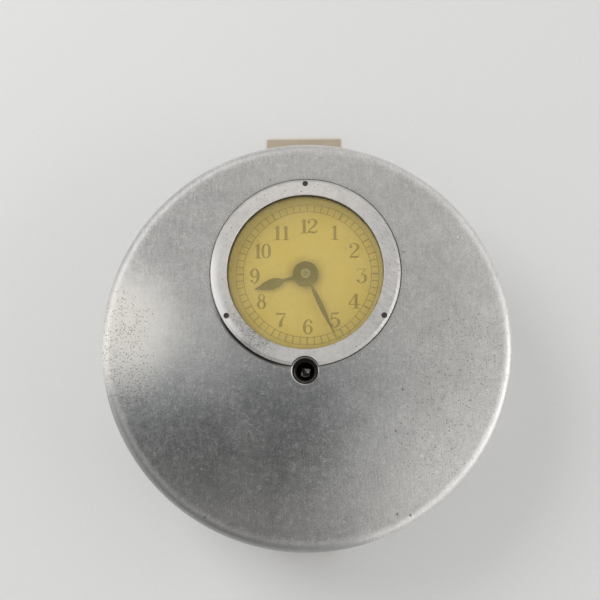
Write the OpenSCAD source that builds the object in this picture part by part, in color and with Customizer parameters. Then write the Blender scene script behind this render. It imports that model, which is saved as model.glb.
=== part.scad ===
// Watchman clock: a round cast case with a small dial above a key socket.
// The hands drive a paper chart behind the movement, and a station key turned
// in the socket swings a stylus that marks the chart with the hour of the visit.
// Millimetres. The origin is the centre of the back face, +Z comes out of the dial
// and +Y points at twelve o'clock, towards the strap loop.

/* [Case] */
// Outside diameter of the case
case_d = 127; // [120:1:160]
// Depth from the back face to the dial face
case_depth = 38; // [37.4:0.2:50]
// Thickness of the side wall
wall_t = 3; // [2.6:0.2:3.4]
// Thickness of the dial face
face_t = 3; // [2.8:0.2:3.6]
// Radius of the rounded shoulder round the dial face
shoulder_r = 3; // [1.5:0.5:5]
// Thickness of the hinged back cover
cover_t = 3; // [2.4:0.2:3.2]

/* [Bezel and dial] */
// Height of the dial centre above the case centre
dial_up = 21.4; // [17:0.2:24]
// Outside diameter of the bezel ring
bezel_d = 59.1; // [49:0.1:64]
// Width of the bezel ring, from its edge to its opening
bezel_w = 5.25; // [4.4:0.05:8]
// Height of the bezel above the dial face
bezel_rise = 1.4; // [0.8:0.1:2.4]
// Distance of the bezel screws from the bezel's edge
bezel_screw_inset = 1.55; // [1.4:0.05:1.9]
// Diameter of the sunk holes for the bezel screws
bezel_screw_d = 1.8; // [1.4:0.1:2]
// Depth of the dial below the dial face
dial_drop = 4.6; // [4.4:0.1:5]
// Thickness of the crystal
crystal_t = 1.2; // [0.8:0.1:1.4]

/* [Key socket] */
// Distance of the key hole's centre below the edge of the bezel
key_below = 1.35; // [1:0.05:5]
// Bore of the steel bush that the key goes into
bush_bore_d = 5.7; // [5:0.1:6.6]
// Wall of the steel bush
bush_wall = 0.65; // [0.5:0.05:0.9]
// Step from the bush to the edge of the key hole in the dial face
key_lip = 0.45; // [0.3:0.05:0.6]
// Width across the flats of the key spindle
post_w = 2.6; // [2.4:0.1:3.3]
// Depth of the spindle's tip below the dial face
post_drop = 6.4; // [6.2:0.1:7]
// Turn of the key from rest to its stop
key_turn = 90; // [60:5:100]
// Turn of the marking lever for the full turn of the key
lever_turn = 10; // [6:0.5:12]

/* [Strap loop] */
// Distance of the strap loop to the left of the centre line
loop_left = 1.1; // [-4:0.1:4]
// Width of the strap loop
loop_w = 26.5; // [24:0.5:30]
// Reach of the strap loop beyond the case wall
loop_reach = 8.8; // [8:0.2:16]
// Thickness of the strap loop
loop_t = 2.2; // [1.6:0.1:3]
// Width of the slot for the strap
slot_w = 20; // [16:0.5:21]
// Height of the slot for the strap
slot_h = 4.4; // [4.2:0.1:6]

/* [Movement] */
// Radius of the two movement plates
train_r = 26; // [25.6:0.2:31]
// Thickness of the movement plates
plate_t = 1.5; // [1.2:0.1:1.8]
// Clear height between the movement plates
train_gap = 11; // [10:0.1:13]
// Module of the barrel and centre pinion teeth
barrel_m = 0.32; // [0.3:0.005:0.34]
// Module of the minute wheel and cannon teeth
motion_m = 0.46; // [0.45:0.005:0.48]

/* [Chart] */
// Clear ring between the edge of the chart and the lock
chart_clear = 2.3; // [1.2:0.1:8]
// Diameter of the chart carrier
carrier_d = 58; // [54:1:60]
// Diameter of the stud that the chart turns on
stud_d = 4; // [3.4:0.1:4.4]

/* [Hidden] */

// Clearances
run_gap = 0.04;
air_gap = 0.3;
seat_gap = 0.1;

// Heights, from the back face forward
case_r = case_d / 2;
inner_r = case_r - wall_t;
cover_top = cover_t - seat_gap;
nut_z = cover_top + 0.4;
nut_t = 2.2;
chart_z = nut_z + nut_t;
chart_t = 0.2;
carrier_z = chart_z + chart_t;
carrier_t = 1.2;
chart_wheel_z = carrier_z + carrier_t + 1.2;
chart_wheel_t = 1.2;
plate_z = chart_wheel_z + chart_wheel_t + 2.2;
main_plate_t = 2;
back_plate_z = plate_z + main_plate_t;
train_z = back_plate_z + plate_t;
front_plate_z = train_z + train_gap;
motion_z = front_plate_z + plate_t;
face_z = case_depth;
face_in = face_z - face_t;
wall_top = face_z - max(face_t, shoulder_r) - 2;
dial_z = face_z - dial_drop;
dial_t = 0.8;
crystal_z = face_z - crystal_t - 0.6;
bezel_z = crystal_z + crystal_t;
bezel_top = face_z + bezel_rise;

// Places on the dial side
dial_c = [0, dial_up];
bezel_r = bezel_d / 2;
key_reach = bezel_r + key_below;
key_c = dial_c - [0, key_reach];
bezel_bore_r = bezel_r - bezel_w;
bezel_screw_ring_r = bezel_r - bezel_screw_inset;
crystal_r = bezel_bore_r + 1.5;
dial_r = bezel_bore_r + 1.2;
dial_hole_r = crystal_r - 0.6;
dial_foot_ring_r = min(dial_r - 3.5, train_r - 4);
bezel_screw_angles = [90, 210, 330];
bush_r = bush_bore_d / 2 + bush_wall;
key_hole_r = bush_r + key_lip;

// Main plate bosses
boss_d = 8;
boss_r = inner_r - boss_d / 2 - 2.4;
boss_angles = [45, 135, 225, 315];
main_plate_r = boss_r + boss_d / 2;

// Teeth in each wheel and pinion
barrel_n = 72;
centre_pinion_n = 12;
centre_n = 64;
third_pinion_n = 8;
third_n = 60;
fourth_pinion_n = 8;
fourth_n = 60;
escape_pinion_n = 6;
escape_n = 15;
cannon_n = 12;
minute_n = 36;
minute_pinion_n = 10;
hour_n = 40;
chart_pinion_n = 10;
chart_n = 80;

// Modules of the other meshes
centre_m = 0.3;
third_m = 0.28;
fourth_m = 0.25;
motion_r = motion_m * (cannon_n + minute_n) / 2;
hour_m = 2 * motion_r / (minute_pinion_n + hour_n);

// Directions from each arbor to the next
barrel_dir = 70;
third_dir = -50;
fourth_dir = -150;
escape_dir = 170;
pallet_dir = 130;
balance_dir = 110;
minute_dir = 150;
dial_foot_angles = [minute_dir - 60, minute_dir + 60, minute_dir + 180];

// Places of the arbors
barrel_c = dial_c + polar(barrel_m * (barrel_n + centre_pinion_n) / 2, barrel_dir);
third_c = dial_c + polar(centre_m * (centre_n + third_pinion_n) / 2, third_dir);
fourth_c = third_c + polar(third_m * (third_n + fourth_pinion_n) / 2, fourth_dir);
escape_c = fourth_c + polar(fourth_m * (fourth_n + escape_pinion_n) / 2, escape_dir);
escape_tip_r = 4.6;
pallet_c = escape_c + polar(5.8, pallet_dir);
balance_c = pallet_c + polar(7.6, balance_dir);
minute_c = dial_c + polar(motion_r, minute_dir);
chart_m = 2 * norm(minute_c) / (chart_pinion_n + chart_n);
chart_dir = atan2(-minute_c[1], -minute_c[0]);

click_c = barrel_c + polar(9.2, -10);

// Heights inside the movement, the upper ones hung from the front plate
barrel_teeth_t = 1.4;
barrel_z = train_z + 0.5;
fourth_wheel_z = train_z + 2.6;
balance_z = front_plate_z - 1.9;
centre_wheel_z = balance_z - 1.7;
escape_wheel_z = centre_wheel_z - 1.3;
third_wheel_z = (fourth_wheel_z + centre_wheel_z) / 2 - 0.4;
barrel_h = centre_wheel_z - barrel_z - 1.5;
wheel_t = 0.7;
arbor_r = 0.6;
pivot_r = 0.4;
centre_arbor_r = 0.9;
minute_arbor_r = 0.75;
winding_r = 1.6;
pillar_angles = [10, 130, 220, 310];
pillar_ring_r = train_r - 2.7;

// Motion work
cannon_r = 1.5;
hour_pipe_r = 2.1;
hour_wheel_z = motion_z + 2.1;
minute_wheel_z = motion_z + 0.4;
hand_room = crystal_z - dial_z;
hour_hand_z = dial_z + hand_room / 4;
minute_hand_z = dial_z + hand_room * 4 / 7;
centre_tip_z = dial_z + hand_room * 6 / 7;
hand_t = 0.4;
hand_tip_w = 0.3;
minute_hand_l = bezel_bore_r - 2.1;
hour_hand_l = minute_hand_l - 5.5;
hour_angle = 252.9;
minute_angle = 154.8;

// Marking lever and its cam
lever_c = key_c + [-25, -9];
lever_z = back_plate_z + 3.4;
lever_t = 2;
lever_half = 3;
cam_z = lever_z - 0.4;
cam_t = lever_t + 0.8;
cam_hub_r = 3.5;
stylus_r = 1;
stylus_arm = norm([23, -22.5]);
stylus_dir = atan2(-22.5, 23);
lever_rest = lever_turn / 2;
bridge_z = cam_z + cam_t + 2;
bridge_t = 2;
bridge_post_x = 12.5;
spindle_r = 2;

// Hinge and lock
hinge_r = 1.5;
hinge_y = -(case_r + 0.5);
hinge_z = hinge_r + 0.2;
hinge_pin_r = 0.75;
leaf_from = hinge_y + hinge_r + air_gap;
knuckle_w = 8;
leaf_w = 20;
leaf_screw_x = 7;
leaf_t = 1.4;
leaf_pad_y = case_r - 1;
hinge_screw_z = cover_t + 7.4;
lock_y = inner_r - 8;
plug_r = 3.2;
lock_r = 4.2;
chart_r = lock_y - lock_r - chart_clear;
catch_z = cover_top + 1.6;
catch_t = 1.4;
cam_plate_z = catch_z + catch_t + air_gap;

// Strap loop
loop_z = case_depth / 2 - 2;
pad_y = case_r - 1.2;
pad_h = 13;
flange_t = 1.6;
strap_screw_x = 9;
strap_screw_dz = 4.3;

// Point at a radius and an angle
function polar(r, a) = [r * cos(a), r * sin(a)];

// Angle of a tooth centre on the second wheel of a pair in mesh
function mesh_phase(na, nb, dir, ra) = dir + 180 + ((dir - ra) * na + 180) / nb;

// Outline of a toothed wheel, with six points to a tooth
function gear_points(n, m, add, ded, half, tip_half, root_half, phase) = [
  for (i = [0 : n - 1])
    for (p = [[-ded, -root_half], [0, -half], [add, -tip_half],
              [add, tip_half], [0, half], [-ded, root_half]])
      polar(m * (n / 2 + p[0]), phase + 360 / n * i + 180 / n * p[1])
];

// Outline of a wheel and of a pinion that run together
function wheel_points(n, m, phase) = gear_points(n, m, 0.9, 1.15, 0.44, 0.18, 0.46, phase);
function pinion_points(n, m, phase) = gear_points(n, m, 0.6, 1.25, 0.38, 0.2, 0.3, phase);

// Points of a flat spiral strip from the first radius to the second
function spiral_side(r1, r2, turns, steps, side) = [
  for (i = [0 : steps])
    polar(r1 + (r2 - r1) * i / steps + side, 360 * turns * i / steps)
];
function spiral_points(r1, r2, turns, steps, t) =
  let (out = spiral_side(r1, r2, turns, steps, t / 2))
  let (back = spiral_side(r1, r2, turns, steps, -t / 2))
  concat(out, [for (i = [steps : -1 : 0]) back[i]]);

// Distance of the lever's flat face from the key centre, for a turn of the key
function face_tilt(turn) = lever_rest - lever_turn * turn / key_turn;
function face_reach(turn) =
  let (tilt = face_tilt(turn), d = lever_c - key_c)
  d[0] * sin(tilt) - d[1] * cos(tilt) - lever_half;
function face_reach_slope(turn) =
  let (tilt = face_tilt(turn), d = lever_c - key_c)
  let (per_turn = (d[0] * cos(tilt) + d[1] * sin(tilt)) * -lever_turn / key_turn)
  per_turn / (1 - lever_turn / key_turn);

// Point of the cam that touches the flat face at that turn, in the cam's own frame
function cam_point(turn) =
  let (a = face_tilt(turn) - 90 + turn, h = face_reach(turn) - seat_gap)
  polar(h, a) + polar(face_reach_slope(turn), a + 90);

module at(p, z = 0) {
  translate([p[0], p[1], z])
    children();
}

// Plain cylinder between two heights
module rod(r, z1, z2, fn = 48) {
  translate([0, 0, z1])
    cylinder(r = r, h = z2 - z1, $fn = fn);
}

// Sector of a ring, used for the windows between spokes
module ring_sector(r1, r2, z1, z2, from, angle) {
  translate([0, 0, z1])
    rotate([0, 0, from])
      rotate_extrude(angle = angle, $fn = 72)
        translate([r1, 0])
          square([r2 - r1, z2 - z1]);
}

// Toothed wheel with a hub and spokes
module spoked_wheel(points, rim_r, hub_r, spokes, z, t, spoke_angle = 16) {
  difference() {
    translate([0, 0, z])
      linear_extrude(height = t)
        polygon(points);
    for (i = [0 : spokes - 1])
      ring_sector(hub_r, rim_r, z - 1, z + t + 1, 360 / spokes * i + spoke_angle / 2,
        360 / spokes - spoke_angle);
  }
}

// Pinion cut from a polygon
module pinion(n, m, phase, z, h) {
  translate([0, 0, z])
    linear_extrude(height = h)
      polygon(pinion_points(n, m, phase));
}

// Slotted screw with its head's top at z, pointing down
module screw(head_r, head_h, shank_r, length, slot = 0.6) {
  difference() {
    union() {
      rod(head_r, -head_h, 0, 32);
      rod(shank_r, -head_h - length, -head_h, 24);
    }
    translate([-head_r - 1, -slot / 2, -head_h * 0.45])
      cube([2 * head_r + 2, slot, head_h]);
  }
}

// Face of the case casting. Its wall and bosses are nodes of their own, joined face to face
module front_case() {
  arc_steps = 8;
  color([0.72, 0.71, 0.69])
    difference() {
      rotate_extrude($fn = 180)
        polygon(concat(
          [[inner_r, wall_top], [case_r, wall_top], [case_r, face_z - shoulder_r]],
          [for (i = [1 : arc_steps])
            [case_r - shoulder_r, face_z - shoulder_r] + polar(shoulder_r, 90 * i / arc_steps)],
          [[0, face_z], [0, face_in], [inner_r - 2, face_in]]
        ));
      // Dial opening, crystal seat and bezel seat
      at(dial_c) {
        rod(dial_hole_r, face_in - 1, face_z + 1, 120);
        rod(crystal_r + seat_gap, crystal_z, face_z + 1, 120);
        rod(bezel_r + 0.2, bezel_z, face_z + 1, 120);
        for (a = bezel_screw_angles)
          at(polar(bezel_screw_ring_r, a))
            rod(0.5, face_in + 0.6, face_z, 24);
      }
      // Key hole with a chamfered lip, and the seat of its bush
      at(key_c) {
        rod(key_hole_r, face_z - 1.6, face_z + 1, 60);
        rod(bush_r, face_in - 1, face_z, 60);
        translate([0, 0, face_z - 0.4])
          cylinder(r1 = key_hole_r, r2 = key_hole_r + 0.6, h = 0.6, $fn = 60);
      }
    }
}

// Four bosses under the face, which the main plate is screwed to
module case_bosses() {
  color([0.72, 0.71, 0.69])
    for (a = boss_angles)
      at(polar(boss_r, a))
        difference() {
          rod(boss_d / 2, back_plate_z, face_in, 36);
          rod(1.3, back_plate_z - 1, back_plate_z + 9, 24);
        }
}

// Side wall of the case casting
module case_wall() {
  color([0.72, 0.71, 0.69])
    difference() {
      rotate_extrude($fn = 180)
        translate([inner_r, cover_t])
          square([wall_t, wall_top - cover_t]);
      // Flat pads for the strap loop and the hinge leaf
      translate([-loop_left - loop_w / 2 - 0.1, pad_y, loop_z - pad_h / 2 - 0.1])
        cube([loop_w + 0.2, 10, pad_h + 0.2]);
      at_strap_screws(pad_y - wall_t)
        rod(0.9, 0, wall_t + 2, 24);
      translate([-leaf_w / 2 - 0.1, -leaf_pad_y - 10, cover_t - 1])
        cube([leaf_w + 0.2, 10, 11.2]);
      for (x = [-1, 1])
        translate([x * leaf_screw_x, -leaf_pad_y + wall_t, hinge_screw_z])
          rotate([90, 0, 0])
            cylinder(r = 0.9, h = wall_t + 2, $fn = 24);
      // Seat of the lock catch
      for (x = [-1, 1])
        translate([x * 2.4, inner_r - 1, catch_z + 3.4])
          rotate([-90, 0, 0])
            cylinder(r = 0.6, h = 2.4, $fn = 24);
    }
}

module back_cover() {
  lip_r = inner_r - 0.35;
  color([0.68, 0.67, 0.65])
    difference() {
      union() {
        rotate_extrude($fn = 180)
          polygon([[0, 0], [case_r - 0.6, 0], [case_r, 0.6], [case_r, cover_top],
                   [lip_r, cover_top], [lip_r, cover_top + 2.1], [lip_r - 2.1, cover_top + 2.1],
                   [lip_r - 2.1, cover_top], [0, cover_top]]);
      }
      at([0, lock_y])
        rod(lock_r, -1, cover_top + 1, 48);
      // Gaps in the lip for the catch and for the hinge leaf of the case
      translate([-7, lip_r - 5, cover_top])
        cube([14, 10, 5]);
      // Notch for the knuckles, and recess for the hinge leaf and its two screws
      translate([-leaf_w / 2 - 0.1, -case_r - 1, -1])
        cube([leaf_w + 0.2, leaf_from + case_r + 1, cover_top + 2]);
      translate([-leaf_w / 2 - 0.1, -case_r - 1, -1])
        cube([leaf_w + 0.2, 12.6, 1 + leaf_t]);
      for (x = [-1, 1])
        at([x * leaf_screw_x, -case_r + 5.6])
          rod(0.9, -1, cover_top + 1, 24);
    }
}

module cover_felt_ring() {
  color([0.23, 0.33, 0.24])
    translate([0, 0, cover_top])
      rotate_extrude($fn = 96)
        translate([carrier_d / 2 + 2, 0])
          square([chart_r - carrier_d / 2 - 2, chart_z - cover_top - air_gap]);
}

// Fixed leaf of the hinge, with the two outer knuckles
module hinge_leaf_case() {
  leaf_top = cover_t + 10;
  color([0.62, 0.6, 0.55])
    difference() {
      union() {
        translate([-leaf_w / 2, -leaf_pad_y - 1.8, cover_t + air_gap])
          cube([leaf_w, 1.8, leaf_top - cover_t - air_gap]);
        for (x = [-1, 1])
          translate([x * (knuckle_w / 2 + air_gap + (leaf_w - knuckle_w) / 4 - 0.15), 0, 0])
            rotate([90, 0, 90])
              translate([0, 0, -(leaf_w - knuckle_w) / 4 + 0.15])
                linear_extrude(height = (leaf_w - knuckle_w) / 2 - 0.3)
                  polygon(concat(
                    [[-leaf_pad_y - 1, cover_t + air_gap], [-leaf_pad_y - 1, cover_t + 5.5],
                     [-leaf_pad_y - 1.8, cover_t + 5.5]],
                    [for (a = [120 : 15 : 360]) [hinge_y, hinge_z] + polar(hinge_r, a)]
                  ));
      }
      translate([0, hinge_y, hinge_z])
        rotate([0, 90, 0])
          rod(hinge_pin_r, -leaf_w, leaf_w, 36);
      // Room for the middle knuckle
      translate([-knuckle_w / 2 - air_gap, -leaf_pad_y - 4, 0])
        cube([knuckle_w + 2 * air_gap, 6, hinge_z + hinge_r + air_gap]);
      for (x = [-1, 1])
        translate([x * leaf_screw_x, -leaf_pad_y + 1, hinge_screw_z])
          rotate([90, 0, 0])
            rod(0.9, 0, 4, 24);
    }
}

// Moving leaf of the hinge, with the middle knuckle
module hinge_leaf_cover() {
  color([0.62, 0.6, 0.55])
    difference() {
      union() {
        translate([-leaf_w / 2, leaf_from, 0.1])
          cube([leaf_w, 11.2 - case_r - leaf_from, leaf_t - 0.1]);
        translate([-knuckle_w / 2, hinge_y, 0.2])
          cube([knuckle_w, 4, leaf_t - 0.2]);
        translate([-knuckle_w / 2, hinge_y, hinge_z])
          rotate([0, 90, 0])
            rod(hinge_r, 0, knuckle_w, 48);
      }
      translate([0, hinge_y, hinge_z])
        rotate([0, 90, 0])
          rod(hinge_pin_r + run_gap, -leaf_w, leaf_w, 36);
      for (x = [-1, 1])
        at([x * leaf_screw_x, -case_r + 5.6]) {
          rod(0.9, -1, leaf_t + 1, 24);
          rod(1.7, -1, 0.9, 32);
        }
    }
}

module hinge_pin() {
  color([0.55, 0.55, 0.56])
    translate([0, hinge_y, hinge_z])
      rotate([0, 90, 0])
        rod(hinge_pin_r, -leaf_w / 2, leaf_w / 2, 36);
}

// Two screws in the fixed leaf
module hinge_screws() {
  color([0.6, 0.6, 0.6])
    for (x = [-1, 1])
      translate([x * leaf_screw_x, -leaf_pad_y - 2.8, hinge_screw_z])
        rotate([90, 0, 0])
          screw(1.6, 1, 0.9, 3.2);
}

// Two screws in the moving leaf
module cover_leaf_screws() {
  color([0.6, 0.6, 0.6])
    for (x = [-1, 1])
      at([x * leaf_screw_x, -case_r + 5.6], 0.1)
        rotate([180, 0, 0])
          screw(1.6, 0.8, 0.9, cover_top - 1);
}

module lock_housing() {
  color([0.75, 0.65, 0.4])
    at([0, lock_y])
      difference() {
        union() {
          rod(lock_r, 0, cam_plate_z - air_gap, 48);
          rod(lock_r + 0.8, cover_top, cover_top + 1.2, 48);
        }
        rod(plug_r + run_gap, -1, cam_plate_z + 1, 48);
      }
}

module lock_plug() {
  color([0.7, 0.6, 0.36])
    at([0, lock_y])
      difference() {
        union() {
          rod(plug_r, 0.1, cam_plate_z, 48);
          rod(1.5, cam_plate_z - 1, cam_plate_z + 1.8, 4);
        }
        translate([-0.5, -2, -1])
          cube([1, 4, 4]);
      }
}

// Flat cam on the lock plug, stored in its open position
module lock_cam() {
  color([0.6, 0.6, 0.6])
    at([0, lock_y])
      difference() {
        translate([0, 0, cam_plate_z])
          linear_extrude(height = 1.2)
            hull() {
              circle(r = 3, $fn = 32);
              translate([4.6, 0])
                circle(r = 1.7, $fn = 32);
            }
        rod(1.5, cam_plate_z - 1, cam_plate_z + 2, 4);
      }
}

// Bracket inside the case wall that the lock cam turns behind
module lock_catch() {
  color([0.6, 0.6, 0.6])
    difference() {
      union() {
        translate([-4, inner_r - 3.2, catch_z])
          cube([8, 3, catch_t]);
        translate([-4, inner_r - 1.4, catch_z])
          cube([8, 1.2, 5.4]);
      }
      for (x = [-1, 1])
        translate([x * 2.4, inner_r - 3, catch_z + 3.4])
          rotate([-90, 0, 0])
            rod(0.6, 0, 4, 24);
    }
}

// Places of the four screws of the strap loop, pointing outwards
module at_strap_screws(y) {
  for (x = [-1, 1], z = [-1, 1])
    translate([x * strap_screw_x - loop_left, y, loop_z + z * strap_screw_dz])
      rotate([-90, 0, 0])
        children();
}

module strap_loop() {
  tip_y = case_r + loop_reach;
  flange_y = pad_y + flange_t;
  corner = 1.8;
  color([0.7, 0.64, 0.56])
    difference() {
      union() {
        translate([-loop_left - loop_w / 2, pad_y, loop_z - pad_h / 2])
          cube([loop_w, flange_t, pad_h]);
        translate([-loop_left, 0, loop_z - loop_t / 2])
          linear_extrude(height = loop_t)
            polygon(concat(
              [[-loop_w / 2, pad_y], [loop_w / 2, pad_y]],
              [for (a = [0 : 15 : 90])
                [loop_w / 2 - corner, tip_y - corner] + polar(corner, a)],
              [for (a = [90 : 15 : 180])
                [-loop_w / 2 + corner, tip_y - corner] + polar(corner, a)]
            ));
      }
      translate([-loop_left, 0, loop_z - loop_t])
        linear_extrude(height = 2 * loop_t)
          polygon(concat(
            [for (a = [0 : 15 : 90])
              [slot_w / 2 - 1, flange_y + 0.3 + slot_h - 1] + polar(1, a)],
            [for (a = [90 : 15 : 180])
              [-slot_w / 2 + 1, flange_y + 0.3 + slot_h - 1] + polar(1, a)],
            [[-slot_w / 2, flange_y + 0.3], [slot_w / 2, flange_y + 0.3]]
          ));
      at_strap_screws(pad_y - 1)
        rod(0.9, 0, flange_t + 2, 24);
    }
}

// Four screws in the flange of the strap loop
module strap_screws() {
  color([0.6, 0.6, 0.6])
    at_strap_screws(pad_y + flange_t + 1)
      screw(1.7, 1, 0.9, flange_t + wall_t - 2);
}

module bezel_ring() {
  slope_w = 0.9;
  slope_z = face_z + 0.4;
  inner_bevel = 0.25;
  color([0.8, 0.79, 0.76])
    difference() {
      at(dial_c)
        rotate_extrude($fn = 144)
          polygon([[bezel_bore_r, bezel_z], [bezel_r, bezel_z], [bezel_r, slope_z],
                   [bezel_r - slope_w, bezel_top], [bezel_bore_r + inner_bevel, bezel_top],
                   [bezel_bore_r, bezel_top - inner_bevel]]);
      for (a = bezel_screw_angles)
        at(dial_c + polar(bezel_screw_ring_r, a)) {
          rod(bezel_screw_d / 2, bezel_top - 1.1, bezel_top + 1, 36);
          rod(0.6, bezel_z - 1, bezel_top, 24);
        }
      at(key_c)
        rod(key_hole_r + 0.5, bezel_z - 1, bezel_top + 1, 60);
    }
}

module bezel_screws() {
  color([0.35, 0.34, 0.33])
    for (a = bezel_screw_angles)
      at(dial_c + polar(bezel_screw_ring_r, a), bezel_top - 0.5)
        rotate([0, 0, a * 0.7])
          screw(bezel_screw_d / 2 - 0.1, 0.6, 0.5, 2.4, 0.25);
}

module crystal() {
  color([0.85, 0.82, 0.6, 0.4])
    at(dial_c)
      rod(crystal_r, crystal_z, crystal_z + crystal_t, 120);
}

// Spacer ring between the dial and the crystal
module dial_ring() {
  color([0.78, 0.74, 0.62])
    at(dial_c)
      difference() {
        rod(dial_hole_r - seat_gap, dial_z, crystal_z, 96);
        translate([0, 0, dial_z - 0.01])
          cylinder(r1 = bezel_bore_r - 1, r2 = bezel_bore_r - 0.2,
            h = crystal_z - dial_z + 0.02, $fn = 96);
      }
}

// Printed dial on three feet
module dial_plate() {
  color([0.86, 0.8, 0.56])
    at(dial_c) {
      difference() {
        rod(dial_r, dial_z - dial_t, dial_z, 96);
        rod(hour_pipe_r + 0.5, dial_z - dial_t - 1, dial_z + 1, 36);
      }
      for (a = dial_foot_angles)
        at(polar(dial_foot_ring_r, a))
          rod(1, motion_z - 1.2, dial_z - dial_t, 24);
    }
}

// Leaf-shaped outline of a hand, pointing along +X, with the leaf starting at from
function leaf_points(length, neck, width, from) = concat(
  [[0, -neck / 2], [from, -neck / 2]],
  [for (i = [1 : 7]) leaf_side(length, neck, width, from, i / 8, -1)],
  [[length, -hand_tip_w / 2], [length, hand_tip_w / 2]],
  [for (i = [7 : -1 : 1]) leaf_side(length, neck, width, from, i / 8, 1)],
  [[from, neck / 2], [0, neck / 2]]
);
function leaf_side(length, neck, width, from, s, side) =
  let (x = from + (length - from) * s * 0.96)
  let (swell = sin(180 * pow(s, 0.8)))
  [x, side * (neck * (1 - s) / 2 + (width - neck) / 2 * swell)];

module hour_hand() {
  color([0.3, 0.27, 0.16])
    at(dial_c)
      difference() {
        union() {
          rod(4.05, hour_hand_z, hour_hand_z + hand_t, 48);
          rotate([0, 0, 90 - hour_angle])
            translate([0, 0, hour_hand_z])
              linear_extrude(height = hand_t)
                polygon(leaf_points(hour_hand_l, 1.05, 3.8, hour_hand_l - 9.3));
        }
        rod(hour_pipe_r, hour_hand_z - 1, hour_hand_z + 1, 36);
      }
}

module minute_hand() {
  color([0.3, 0.27, 0.16])
    at(dial_c)
      difference() {
        union() {
          rod(2.2, minute_hand_z, minute_hand_z + hand_t, 36);
          rotate([0, 0, 90 - minute_angle])
            translate([0, 0, minute_hand_z])
              linear_extrude(height = hand_t)
                polygon(leaf_points(minute_hand_l, 0.86, 1.9, 5));
        }
        rod(cannon_r, minute_hand_z - 1, minute_hand_z + 1, 36);
      }
}

module hour_wheel() {
  color([0.8, 0.66, 0.34])
    at(dial_c)
      difference() {
        union() {
          spoked_wheel(wheel_points(hour_n, hour_m,
            mesh_phase(minute_pinion_n, hour_n, minute_dir + 180, 0)),
            6.8, 3.4, 3, hour_wheel_z, 0.8, 24);
          rod(hour_pipe_r, hour_wheel_z, hour_hand_z + hand_t + 0.2, 36);
        }
        rod(cannon_r + run_gap, hour_wheel_z - 1, hour_hand_z + 2, 36);
      }
}

// Cannon pinion, whose pipe carries the minute hand
module cannon_pinion() {
  color([0.6, 0.6, 0.6])
    at(dial_c)
      difference() {
        union() {
          pinion(cannon_n, motion_m, 0, motion_z + air_gap, 1.4);
          rod(cannon_r, motion_z + air_gap, minute_hand_z + hand_t + 0.3, 36);
        }
        rod(centre_arbor_r + run_gap, motion_z - 1, minute_hand_z + 2, 36);
      }
}

// Minute wheel on the long arbor that reaches back to the chart
module minute_wheel() {
  color([0.8, 0.66, 0.34])
    at(minute_c) {
      spoked_wheel(wheel_points(minute_n, motion_m,
        mesh_phase(cannon_n, minute_n, minute_dir, 0)),
        6.4, 2.8, 4, minute_wheel_z, 0.8, 24);
      pinion(minute_pinion_n, hour_m, 0, minute_wheel_z + 0.8, 1.7);
      rod(minute_arbor_r, chart_wheel_z - 0.4, minute_wheel_z + 1, 36);
      pinion(chart_pinion_n, chart_m, 0, chart_wheel_z - 0.4, 2);
    }
}

module key_bush() {
  bush_low = face_z - post_drop + air_gap;
  flange_r = key_reach - dial_hole_r - 0.2;
  color([0.62, 0.62, 0.61])
    at(key_c)
      difference() {
        union() {
          rod(bush_r, bush_low, face_z - 1.4, 60);
          rod(flange_r, face_z - face_t - 1.2, face_z - face_t, 60);
        }
        rod(bush_bore_d / 2, bush_low - 1, face_z, 60);
      }
}

// Square-ended spindle that the station key turns
module key_spindle() {
  tip_z = face_z - post_drop;
  color([0.78, 0.76, 0.7])
    at(key_c) {
      rod(1.5, plate_z + 0.1, back_plate_z + 1, 36);
      rod(2.6, back_plate_z + air_gap, cam_z, 36);
      difference() {
        rod(spindle_r, cam_z, bridge_z + bridge_t + 0.8, 48);
        translate([1.3, -3, cam_z])
          cube([3, 6, cam_t]);
      }
      rotate([0, 0, -10])
        translate([-post_w / 2, -post_w / 2, bridge_z + bridge_t + 0.4])
          cube([post_w, post_w, tip_z - bridge_z - bridge_t - 0.4]);
    }
}

// Snail cam on the spindle, found as the envelope of the lever's flat face
module marking_cam() {
  color([0.5, 0.5, 0.52])
    at(key_c)
      difference() {
        union() {
          rod(cam_hub_r, cam_z, cam_z + cam_t, 60);
          translate([0, 0, cam_z])
            linear_extrude(height = cam_t)
              polygon(concat(
                [[0, 0]],
                [for (turn = [0 : 5 : key_turn]) cam_point(turn)],
                [polar(cam_hub_r, 80), polar(cam_hub_r, 110)]
              ));
        }
        difference() {
          rod(spindle_r, cam_z - 1, cam_z + cam_t + 1, 48);
          translate([1.3, -3, cam_z - 2])
            cube([3, 6, cam_t + 4]);
        }
      }
}

// Flat spiral spring that turns the spindle back when the key is let go
module spindle_spring() {
  color([0.45, 0.45, 0.5])
    at(key_c)
      translate([0, 0, cam_z + cam_t + air_gap])
        linear_extrude(height = bridge_z - cam_z - cam_t - 2 * air_gap)
          polygon(spiral_points(spindle_r + 0.3, spindle_r + 5, 4, 96, 0.24));
}

module spindle_bridge() {
  color([0.74, 0.62, 0.34])
    at(key_c)
      difference() {
        union() {
          for (x = [-1, 1])
            at([x * bridge_post_x, 0])
              rod(2, back_plate_z, bridge_z + 0.5, 36);
          translate([0, 0, bridge_z])
            linear_extrude(height = bridge_t)
              hull() {
                for (x = [-1, 1])
                  translate([x * bridge_post_x, 0])
                    circle(r = 3, $fn = 32);
              }
          rod(4.2, bridge_z, bridge_z + bridge_t, 48);
        }
        rod(spindle_r + run_gap, bridge_z - 1, bridge_z + bridge_t + 1, 48);
      }
}

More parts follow.
